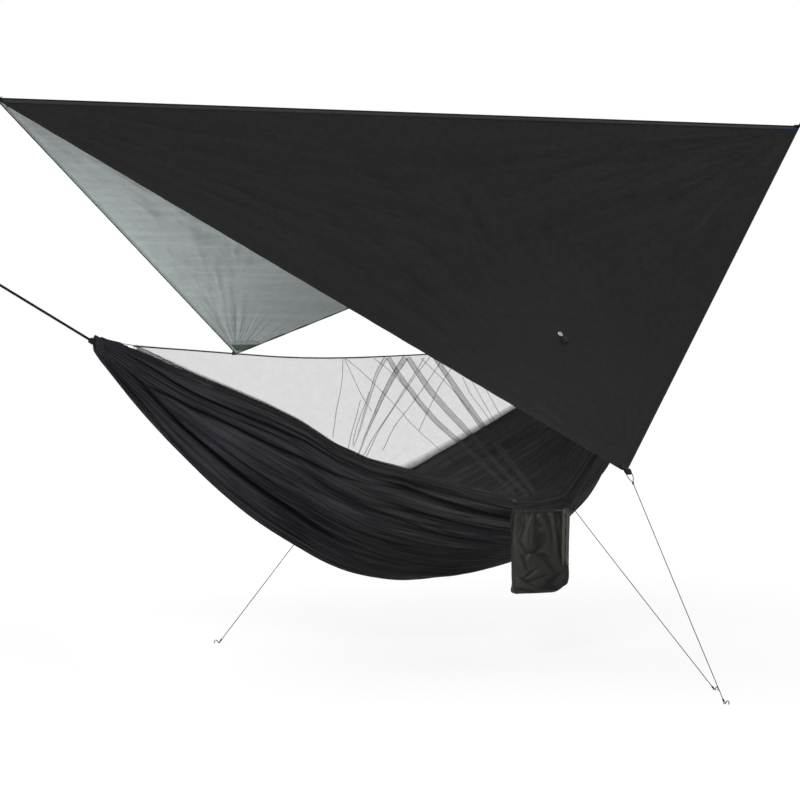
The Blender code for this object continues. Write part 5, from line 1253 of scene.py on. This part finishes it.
def add_lap(form, side, line, width, layers, slot, lift=0.0012):
    """A lapped fold of net: layers of it along a line of (share, rise) points."""
    line = smooth_path(line, LAP_POINTS)
    places = net_places(side, line[:, 0], np.clip(line[:, 1], 0, 1))
    out = edge_frames(line[:, 0], side)[2]
    across = unit(np.cross(unit(np.gradient(places, axis=0)), out))
    width = np.atleast_1d(width)
    widths = np.interp(np.linspace(0, 1, LAP_POINTS), np.linspace(0, 1, len(width)), width)
    runs = run_lengths(places)
    faces, corners = grid_faces(LAP_POINTS, 4)
    for layer in range(layers):
        rimmed = slot == 0 and layer == 0
        rim = np.minimum(0.0032, widths * 0.3) if rimmed else widths * 0.25
        spread = np.stack([-widths / 2, -widths / 2 + rim, widths / 2 - rim, widths / 2], -1)
        bulge = np.array([0.0, 0.0012, 0.0012, 0.0]) + (layer + 1) * lift
        grid = places[:, None] + across[:, None] * spread[..., None] + out[:, None] * bulge[None, :, None]
        uv = np.stack([runs[corners[..., 0]], spread[corners[..., 0], corners[..., 1]] + layer * 0.3], -1)
        form.add(grid, faces, uv, np.tile((1, 0, 1) if rimmed else (slot,) * 3, LAP_POINTS - 1))


# Lapped folds of the near net, as lines of (share, rise), each with its widths and layers: those that fan from
# the ridge, the narrow ones over them, and those along the foot of the net
NET_FANS = (
    (((0.4788, 0.988), (0.4846, 0.875), (0.4963, 0.738), (0.511, 0.60), (0.5256, 0.481), (0.5417, 0.388),
      (0.570, 0.20), (0.595, 0.03)), (0.024, 0.026, 0.028, 0.026, 0.016), 2),
    (((0.5124, 0.981), (0.5197, 0.869), (0.5314, 0.731), (0.5461, 0.60), (0.5592, 0.494), (0.568, 0.425),
      (0.592, 0.20), (0.612, 0.03)), (0.026, 0.032, 0.032, 0.026, 0.016), 2),
    (((0.5590, 0.985), (0.5636, 0.919), (0.5724, 0.806), (0.5812, 0.681), (0.5914, 0.544), (0.6080, 0.30),
      (0.625, 0.04)), (0.022, 0.032, 0.030, 0.018), 2),
    (((0.4744, 0.988), (0.4525, 0.875), (0.432, 0.719), (0.4159, 0.588), (0.3925, 0.375), (0.3618, 0.081)),
     (0.016, 0.013, 0.009, 0.006, 0.004), 1),
    (((0.508, 0.981), (0.4832, 0.875), (0.451, 0.70), (0.4218, 0.50), (0.3896, 0.25), (0.3633, 0.0)),
     (0.024, 0.018, 0.012, 0.007, 0.005), 2),
)
NET_NARROW = (
    ((0.5519, 0.981), (0.5183, 0.863), (0.4671, 0.631), (0.4174, 0.344), (0.3735, 0.0)),
    ((0.5665, 0.944), (0.5314, 0.806), (0.4905, 0.631), (0.4539, 0.456), (0.4086, 0.144)),
    ((0.5812, 0.90), (0.549, 0.775), (0.5197, 0.625), (0.485, 0.42)),
    ((0.4013, 0.988), (0.391, 0.831), (0.3618, 0.475), (0.334, 0.10)),
    ((0.4042, 0.988), (0.4086, 0.838), (0.4115, 0.70), (0.418, 0.52)),
    ((0.4057, 0.994), (0.4291, 0.856), (0.4481, 0.706), (0.4642, 0.581), (0.4832, 0.431), (0.52, 0.2)),
    ((0.5402, 0.975), (0.4861, 0.738), (0.4408, 0.494), (0.3969, 0.219), (0.372, 0.019)),
    ((0.5943, 0.838), (0.5973, 0.713), (0.6031, 0.644), (0.62, 0.36)),
    ((0.5344, 0.969), (0.5592, 0.819), (0.5841, 0.613), (0.61, 0.34)),
    ((0.4261, 0.70), (0.3837, 0.344), (0.3618, 0.10)),
    ((0.4539, 0.988), (0.4744, 0.875), (0.4876, 0.769), (0.505, 0.62)),
    ((0.4071, 0.619), (0.3691, 0.238), (0.3501, 0.013)),
    ((0.620, 0.98), (0.628, 0.62), (0.640, 0.12)), ((0.600, 0.985), (0.612, 0.66), (0.632, 0.08)),
    ((0.64, 0.98), (0.66, 0.6), (0.69, 0.2)), ((0.66, 0.98), (0.69, 0.6), (0.73, 0.15)),
)
NET_LOW = (
    (((0.075, 0.10), (0.14, 0.075), (0.22, 0.06), (0.30, 0.035), (0.36, 0.01)), (0.006, 0.030, 0.012), 1),
    (((0.10, 0.06), (0.17, 0.045), (0.27, 0.025), (0.37, 0.012), (0.45, 0.01)), (0.006, 0.018, 0.008), 2),
    (((0.30, 0.012), (0.40, 0.012), (0.50, 0.012), (0.60, 0.01)), (0.008, 0.014, 0.008), 2))


def rises_at(run, side, tall):
    """A line of (share, rise) points along the foot of a net, at heights over its start."""
    height = edge_frames(run, side)[3] - (NEAR_NET_START if side < 0 else 0)
    rise = tall / height
    return np.stack([run, np.clip(rise, 0.004, 0.95) if side < 0 else rise], -1)


def build_nets():
    near, near_area = net_piece("net_cloth_near", "net_near", -1)
    far, far_area = net_piece("net_cloth_far", "net_far", 1)
    form, laps = Form(), Form()
    add_tube(form, between_stations(ridge_curve, np.linspace(STATIONS[0], STATIONS[-1], 120)), CORD, 10)
    form.piece("net_cord", "slung", [NET_CORD], "cord_black", ["net_ridge_cord"])
    for line, width, layers in NET_FANS:
        add_lap(laps, -1, line, width, layers, 0)
    for line in NET_NARROW:
        add_lap(laps, -1, line, 0.0032, 1, 1, 0.0022)
    for line, width, layers in NET_LOW:
        add_lap(laps, -1, line, width, layers, 0)
    for number in range(11):
        run = np.linspace(0.062, 0.46 - 0.022 * number, 12)
        bent = 0.5 + 0.5 * np.cos(math.pi * (run - run[0]) / (run[-1] - run[0]))
        tall = 0.003 + 0.0046 * number * bent + 0.0012 * np.sin(run * 60 + number)
        add_lap(laps, -1, rises_at(run, -1, tall), 0.0026 if number % 3 else 0.0048, 1, 1, 0.0026)
    for tall, reach in ((0.064, 0.30), (0.052, 0.36), (0.040, 0.40), (0.028, 0.46), (0.018, 0.50), (0.010, 0.52)):
        run = np.linspace(0.062, reach, 14)
        bent = tall * np.sqrt(np.clip(1 - (run - run[0]) / (run[-1] - run[0]), 0.02, 1))
        add_lap(laps, -1, rises_at(run, -1, bent * 0.5), bent, 1, 2, 0.0018)
    for tall in (0.008, 0.016, 0.024, 0.034, 0.046, 0.060):
        add_lap(laps, 1, rises_at(np.linspace(0.30, 0.83, 16), 1, tall * 0.5), tall, 1, 2, 0.0018)
    lapped = laps.piece("net_laps", "slung", [NET_LAPPED, NET_EDGE, NET_LAPPED], "net_grey")
    shares = finer_shares(6)
    for side, word in ((-1, "near"), (1, "far")):
        band, height = Form(), edge_frames(shares, side)[3]
        grid = np.stack([net_places(side, shares, 1 - back / (height - 0.04), 0.0009 if back else 0.0)
                         for back in (0.0, 0.0018, 0.0036)], 1)
        uv = np.stack(np.broadcast_arrays((shares * SPAN)[:, None], np.array([0, 0.0018, 0.0036])[None]), -1)
        add_sheet(band, grid, uv, 0.0006, flip=side < 0)
        band.piece(f"net_top_hem_{word}", "slung", [NET_EDGE], "net_grey")
    width = 2.38


build_nets()
for name, node, at, out, up, width in (
        ("loop_near_tie", "near_tie_loop", (2.29837, -0.534178, -0.910263), (0.027845, -0.682127, -0.730704),
         (-0.202675, -0.719657, 0.664091), 0.020),
        ("loop_far_tie", "far_tie_loop", (1.90897, 0.515003, -0.896513), (-0.619115, 0.561839, -0.548665),
         (0.057794, 0.729373, 0.681671), 0.020),
        ("loop_sack", "sack_hanger", (2.153384, -0.497632, -0.934489), (0, -0.640019, -0.768359),
         (-0.20149, -0.752601, 0.626892), 0.060)):
    webbing_piece(name, "slung", node, at, out, up, width, 0.009)

# Stuff sack
SACK_WAYS = (0.98773, -0.15613, 0), (0, 0, 1)
SACK_AT = axes_at((2.1518, -0.5186, -0.9473), *SACK_WAYS)
SACK_WIDTH = 0.236
SACK_DEPTH = 0.100
SACK_HEIGHT = 0.312
SACK_MIDDLE = -0.060
CHANNEL = 0.012
SACK_TOP = 0.010
FILLING_STEPS = 20
PLEATS = 26


def oval(angle, squareness=2.8):
    """The sack's rounded oblong section, at angles round it."""
    cos, sin = np.cos(angle), np.sin(angle)
    return (np.sign(cos) * np.abs(cos) ** (2 / squareness) * SACK_WIDTH / 2,
            np.sign(sin) * np.abs(sin) ** (2 / squareness) * SACK_DEPTH / 2)


def filled(points, faces, held, growth, pressure, reach):
    """How far a soft shell's points move once it is filled and has buckled: a cloth simulation of its mesh."""
    mesh = bpy.data.meshes.new("filling")
    mesh.from_pydata([tuple(p) for p in points], [], [tuple(int(i) for i in f) for f in faces])
    shell = bpy.data.objects.new("filling", mesh)
    bpy.context.scene.collection.objects.link(shell)
    group = shell.vertex_groups.new(name="held")
    for index in np.nonzero(held)[0]:
        group.add([int(index)], float(held[index]), "REPLACE")
    cloth = shell.modifiers.new("cloth", "CLOTH")
    for name, value in dict(quality=6, mass=0.15, tension_stiffness=12, compression_stiffness=12, shear_stiffness=4,
                            bending_stiffness=0.02, vertex_group_mass="held", use_pressure=True,
                            uniform_pressure_force=pressure, shrink_min=-growth).items():
        setattr(cloth.settings, name, value)
    cloth.settings.effector_weights.gravity = 0
    cloth.collision_settings.use_collision = False
    cloth.point_cache.frame_start, cloth.point_cache.frame_end = 1, FILLING_STEPS
    for step in range(1, FILLING_STEPS + 1):
        bpy.context.scene.frame_set(step)
    rested = shell.evaluated_get(bpy.context.evaluated_depsgraph_get())
    after = np.empty(len(points) * 3)
    rested.data.vertices.foreach_get("co", after)
    move = after.reshape(-1, 3) - points
    bpy.data.objects.remove(shell)
    bpy.data.meshes.remove(mesh)
    bpy.context.scene.frame_set(1)
    far = np.linalg.norm(move, axis=1, keepdims=True) + SMALL
    return move * np.tanh(far / reach) * reach / far


# Dents of the sack's front: place across and down, turn, half length, half width, depth
SACK_DENTS = (
    (-0.86, 0.12, 1.45, 0.050, 0.007, 0.006), (-0.62, 0.20, 1.75, 0.040, 0.009, -0.004),
    (-0.80, 0.38, 1.0, 0.035, 0.008, 0.005), (-0.42, 0.46, -0.35, 0.040, 0.010, 0.008),
    (-0.60, 0.40, 1.35, 0.045, 0.010, -0.004), (-0.10, 0.52, 0.25, 0.045, 0.012, 0.005),
    (-0.70, 0.60, 1.2, 0.035, 0.007, 0.006), (-0.45, 0.72, -0.6, 0.030, 0.006, 0.006),
    (-0.30, 0.80, -0.3, 0.040, 0.006, 0.005), (-0.60, 0.85, 0.5, 0.030, 0.006, 0.005),
    (0.15, 0.62, 0.9, 0.050, 0.010, 0.004), (0.35, 0.80, -0.5, 0.045, 0.010, 0.005),
    (-0.20, 0.14, 0.3, 0.030, 0.006, 0.005), (0.25, 0.30, 1.5, 0.050, 0.010, 0.003),
    (0.55, 0.45, 1.45, 0.080, 0.007, 0.005), (0.72, 0.10, 1.4, 0.020, 0.004, 0.004),
    (0.62, 0.08, 1.5, 0.020, 0.004, 0.004), (0.82, 0.09, 1.6, 0.020, 0.004, 0.004),
    (0.50, 0.07, 1.6, 0.018, 0.004, 0.004), (0.10, 0.93, 0.05, 0.060, 0.007, 0.004),
    (-0.5, 0.955, 0.2, 0.050, 0.006, 0.004),
)


def sack_shell():
    """The filled sack: its shell of cloth with pleats, dents and slack, let out by the simulation."""
    sides, rows = 120, 84
    angle = turns(sides)
    fullness = ((0.0, 0.84), (0.03, 0.93), (0.1, 0.975), (0.3, 1.0), (0.6, 1.0), (0.86, 0.99), (0.95, 0.93),
                (0.99, 0.78), (1.0, 0.6))
    foot = 0.93 + 0.07 * np.sin(np.linspace(0, 1, 13)[1:] * math.pi / 2)
    level = np.concatenate([np.linspace(0, 0.93, rows - 12), foot])
    top = SACK_TOP - CHANNEL - GAP
    x, y = oval(angle)
    grid = []
    for share, size in zip(level, np.minimum(through(fullness, level), 1.0)):
        width = 1 - (1 - size) * 0.3
        grid.append(np.stack([x * width, SACK_MIDDLE + y * size * 0.94, np.full(sides, top - SACK_HEIGHT * share)], -1))
    last, middle = grid[-1], np.array([0, SACK_MIDDLE, 0])
    for size in (0.75, 0.5, 0.25, 0.02):
        grid.append(middle + (last - middle) * (size, size, 1.0) - (0, 0, 0.002 * (1 - size)))
    grid = np.array(grid)
    share = np.concatenate([level, np.ones(4)])[:, None]
    corner = smooth_step(0.25, 1.0, grid[..., 0] / (SACK_WIDTH / 2)) ** 1.5
    grid[..., 2] += 0.030 * corner * smooth_step(0.55, 1.0, share)
    out = (grid - middle) * (1, 1, 0)
    out = out / (np.linalg.norm(out, axis=-1, keepdims=True) + SMALL)
    pleat = 0.0034 * np.sin(PLEATS * angle)[None, :] * np.exp(-share / 0.09)
    pleat = pleat + 0.0022 * np.sin(PLEATS / 2 * angle + 1.0)[None, :] * np.exp(-share / 0.22)
    slack = np.array([[noise.noise(Vector((p[0] * 16, p[1] * 16, p[2] * 9 + 2.0))) for p in row] for row in grid])
    push = pleat + 0.0045 * slack * smooth_step(0, 0.08, share) * (1 - smooth_step(0.96, 1.0, share))
    front = smooth_step(0.0, 0.35, -out[..., 1])
    for at_x, at_share, turn, long, wide, depth in SACK_DENTS:
        run_x, run_z = grid[..., 0] - at_x * SACK_WIDTH / 2, (share - at_share) * SACK_HEIGHT
        along = run_x * math.cos(turn) + run_z * math.sin(turn)
        off = run_z * math.cos(turn) - run_x * math.sin(turn)
        push = push - depth * front * np.exp(-(along / long) ** 2 - (off / wide) ** 2)
    grid = grid + out * push[..., None]
    faces, corners = grid_faces(len(grid), sides, True, True)
    held = np.zeros(grid.shape[:2])
    held[:2] = held[-4:] = 1.0
    move = filled(grid.reshape(-1, 3), faces[:, ::-1], held.ravel(), 0.10, 0.3, 0.008).reshape(grid.shape)
    grid = grid + move
    push = push + (move * out).sum(-1)
    uv = np.stack([corners[..., 1] * 0.0050, (share[:, 0] * SACK_HEIGHT)[corners[..., 0]]], -1)
    form = Form()
    form.add(placed(SACK_AT, grid), faces, uv)
    # Painted shade: the sack darker all over, more so low down on its half towards the foot, darker in its dents and
    # lighter on its bulges
    relief = np.pad(push, ((0, 0), (20, 20)), mode="wrap")
    dents = np.clip((hollows(relief, 7)[:, 20:-20] + hollows(push.T, 5).T) / 0.0022, -0.6, 1)
    tone = 0.16 + 0.34 * smooth_step(0.40, 0.95, share) * smooth_step(-0.03, 0.08, grid[..., 0])
    made = form.piece("sack_shell", "sack", [SACK_NYLON], "black_nylon", ["stuff_sack"], shade=tone + 0.7 * dents)
    finer = made.modifiers.new("finer", "SUBSURF")
    finer.levels = finer.render_levels = 1


def sack_mouth():
    """The gathered channel round the sack's mouth, and the cloth drawn in inside it."""
    angle = turns(PLEATS * 10)
    pucker = np.sin(PLEATS * angle)
    x, y = oval(angle)
    rows = []
    for height, size, ripple in (
            (0.0, 0.845, 0.6), (0.12, 0.885, 1.0), (0.5, 0.912, 1.2), (0.88, 0.89, 1.0), (1.0, 0.85, 0.8),
            (0.93, 0.80, 0.7), (0.6, 0.74, 0.8), (0.35, 0.55, 0.7), (0.3, 0.3, 0.4), (0.3, 0.03, 0.1)):
        width = 1 - (1 - size) * 0.3 if size > 0.7 else size
        z = SACK_TOP - CHANNEL + CHANNEL * height + 0.0009 * ripple * np.sin(PLEATS * angle + 1.2)
        rows.append(np.stack([x * width * (1 + 0.012 * ripple * pucker),
                              SACK_MIDDLE + y * size * (1 + 0.03 * ripple * pucker),
                              np.minimum(z, SACK_TOP + 0.0016)], -1))
    faces, corners = grid_faces(len(rows), len(angle), wrap=True)
    form = Form()
    form.add(placed(SACK_AT, rows), faces, corners[..., ::-1] * (0.0025, 0.004))
    form.piece("sack_mouth", "sack", [SACK_NYLON], "black_nylon", ["sack_channel"])


def sack_cords():
    """The bail that the sack hangs on, and both ends of its drawstring with their knot."""
    bail, knot = Form(), Form()
    bend = [(0.076, 0, 0), (0.0815, -0.0012, 0), (0.084, -0.005, 0), (0.084, -0.012, 0), (0.084, -0.022975, 0)]
    path = [*((-x, y, z) for x, y, z in reversed(bend)), *((x, 0, 0) for x in np.linspace(-0.06, 0.06, 9)), *bend]
    add_tube(bail, placed(SACK_AT, smooth_path(path, 90)), CORD, 12)
    bail.piece("bail_cord", "sack", [DRAW_OLIVE], "cord_black", ["sack_bail"])
    lock = axes_at((2.210149, -0.648783, -0.957107), *SACK_WAYS)
    inner = [(-0.0175, 0.017127, 0.0138), (-0.0175, 0.00415, 0.0138), (-0.0125, 0.00165, 0.0138),
             *((x, 0.00165, 0.0138) for x in (-0.0112, -0.006, 0.0, 0.0055, 0.0072, 0.0075)),
             (0.01, 0.00165, 0.0113), (0.0125, 0.00165, 0.0088), (0.012808, 0.001998, -0.0072),
             (0.013463, 0.002737, -0.0412), (0.014233, 0.003608, -0.0812), (0.015003, 0.004477, -0.1212),
             (0.015773, 0.005347, -0.1612), (0.016234, 0.005869, -0.1852), (0.01635, 0.006, -0.1912)]
    outer = [(-0.0275, 0.0164, 0.0138), (-0.0275, 0.00085, 0.0138), (-0.0225, -0.00165, 0.0138),
             *((x, -0.00165, 0.0138) for x in (-0.0212, -0.012, -0.006, 0.0, 0.006, 0.012, 0.0172, 0.0175)),
             (0.02, -0.00165, 0.0113), (0.0225, -0.00165, 0.0088), (0.022272, -0.001038, -0.0072),
             (0.021787, 0.000263, -0.0412), (0.021217, 0.001793, -0.0812), (0.020647, 0.003323, -0.1212),
             (0.020077, 0.004853, -0.1612), (0.019735, 0.00577, -0.1852), (0.01965, 0.006, -0.1912)]
    at = axes_at((2.228865, -0.645666, -1.157607), *SACK_WAYS)
    add_tube(knot, placed(at, barrel(0.0072, CORD * 1.25, 2.6, 0.0009)), CORD * 1.05, 10)
    add_tube(knot, placed(at, line_points((0, 0, 0.0005), (0, 0, 0.0088), count=6)), CORD * 1.5, 10)
    tied = knot.piece("draw_knot", "sack", [DRAW_OLIVE], "cord_black", ["drawstring_knot"])
    for word, path in (("inner", inner), ("outer", outer)):
        points = placed(lock, smooth_path(path, 110))
        cord_piece(f"draw_{word}", "sack", points, CORD, DRAW_OLIVE, "cord_black", f"drawstring_{word}")


TAPE_WIDTH, TAPE_LENGTH, TAPE_POINT = 0.0125, 0.205, 0.1


def sack_tapes():
    """Two flat tapes sewn side by side down the sack's front, each cut to a point."""
    share, spread = np.linspace(0, 1, 60)[:, None], np.linspace(-0.5, 0.5, 6)[None, :]
    width = TAPE_WIDTH * np.minimum(1, (1 - share) / TAPE_POINT) + 0.0006
    for number, across in enumerate((0.0795, 0.0965)):
        front = -0.112 - 0.0035 * np.sin(3 * math.pi * share + number) ** 2
        grid = np.stack(np.broadcast_arrays(across - 0.004 * share + spread * width,
                                            front - 0.0012 * np.cos(spread * math.pi),
                                            -0.006 - TAPE_LENGTH * share), -1)
        lengths = np.stack(np.broadcast_arrays(TAPE_LENGTH * share, spread * width), -1)
        form = Form()
        add_sheet(form, placed(SACK_AT, grid), lengths, 0.0010)
        form.piece(f"sack_tape_{number + 1}", "sack", [TAPE_OLIVE], "webbing_black")


sack_shell()
sack_mouth()
sack_cords()
sack_tapes()

# The solids whose shapes are kept
for look, nodes in (
        (STEEL, ("head_carabiner", "head_gate", "head_gate_pin", "foot_carabiner", "foot_gate", "foot_gate_pin",
                 "lock_spring")),
        (ZIP_METAL, ("zip_slider",)), (PLASTIC, ("zip_pull", "lock_body", "lock_button")),
        (ALUMINIUM, ("fly_peg", "near_peg", "far_peg"))):
    for node in nodes:
        for slot_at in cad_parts[node].material_slots:
            slot_at.material = look

# Floor, backdrop and light
scene = bpy.context.scene
FLOOR_RADIUS = 30


def straight_to_camera(tree):
    """1 for the camera's rays and for mirrored and passed ones, 0 for the rest."""
    path = add_node(tree, "LightPath").outputs
    seen = add_node(tree, "Math", {0: path["Is Camera Ray"], 1: path["Is Glossy Ray"]}, operation="MAXIMUM")
    return add_node(tree, "Math", {0: seen.outputs[0], 1: path["Is Transmission Ray"]}, operation="MAXIMUM").outputs[0]


def white_look():
    """A white floor that keeps the object's shadow, and is white to the camera away from it."""
    made = bpy.data.materials.new("floor_white")
    made.use_nodes = True
    tree = made.node_tree
    tree.nodes.clear()
    lit = add_node(tree, "BsdfDiffuse", {"Color": (0.22, 0.22, 0.22, 1)})
    reach = add_node(tree, "VectorMath", {0: add_node(tree, "TexCoord").outputs["Object"]}, operation="LENGTH")
    spread = add_node(tree, "MapRange", {"From Min": 2.0, "From Max": 5.0, "To Min": 0.79, "To Max": 0.885,
                                         "Value": reach.outputs["Value"]})
    strength = add_node(tree, "Math", {0: straight_to_camera(tree), 1: spread.outputs[0]}, operation="MULTIPLY")
    glow = add_node(tree, "Emission", {"Strength": strength.outputs[0]})
    joined = add_node(tree, "AddShader", {0: lit.outputs[0], 1: glow.outputs[0]})
    add_node(tree, "OutputMaterial", {"Surface": joined.outputs[0]})
    return made


floor_mesh = bpy.data.meshes.new("floor")
ring = [(FLOOR_RADIUS * math.cos(a), FLOOR_RADIUS * math.sin(a), 0.0) for a in turns(96)]
floor_mesh.from_pydata(ring, [], [tuple(range(len(ring)))])
floor_mesh.materials.append(white_look())
floor = bpy.data.objects.new("floor", floor_mesh)
floor.location = (RIDGE.x, 0, GROUND)
scene.collection.objects.link(floor)

world = bpy.data.worlds.new("studio")
scene.world = world
world.use_nodes = True
tree = world.node_tree
tree.nodes.clear()
sky_lit, sky_seen = (add_node(tree, "Background", {"Color": colour, "Strength": strength}).outputs[0]
                     for colour, strength in (((0.97, 0.98, 1.0, 1), 0.55), ((1, 1, 1, 1), 1.0)))
sky = add_node(tree, "MixShader", {0: straight_to_camera(tree), 1: sky_lit, 2: sky_seen})
add_node(tree, "OutputWorld", {"Surface": sky.outputs[0]})


def area_light(name, at, towards, size, power, colour=(1, 1, 1)):
    data = bpy.data.lights.new(name, "AREA")
    data.shape = "RECTANGLE"
    data.size, data.size_y = size
    data.energy = power
    data.color = colour
    lamp = bpy.data.objects.new(name, data)
    lamp.location = at
    way = Vector(towards) - Vector(at)
    lamp.rotation_euler = way.to_track_quat("-Z", "Y").to_euler()
    scene.collection.objects.link(lamp)
    return lamp


area_light("key", (-3.2, -6.2, 2.3), (1.8, -0.2, -0.7), (2.6, 2.2), 560, (1.0, 0.99, 0.98))
area_light("fill", (5.6, -4.2, 1.6), (2.2, -0.2, -0.7), (2.4, 2.4), 16)
area_light("under", (0.3, 1.1, -1.15), (1.2, 0.8, 0.12), (1.4, 1.0), 27).visible_camera = False
area_light("back", (2.0, 5.5, 4.5), (2.0, 0.0, -0.4), (4.0, 3.0), 160)
inside = area_light("inside", (-0.2, -3.4, -0.42), (3.0, 0.35, -0.72), (0.5, 0.3), 2.3)
inside.visible_camera = False
inside.data.spread = math.radians(26)

scene.view_settings.view_transform = "Standard"
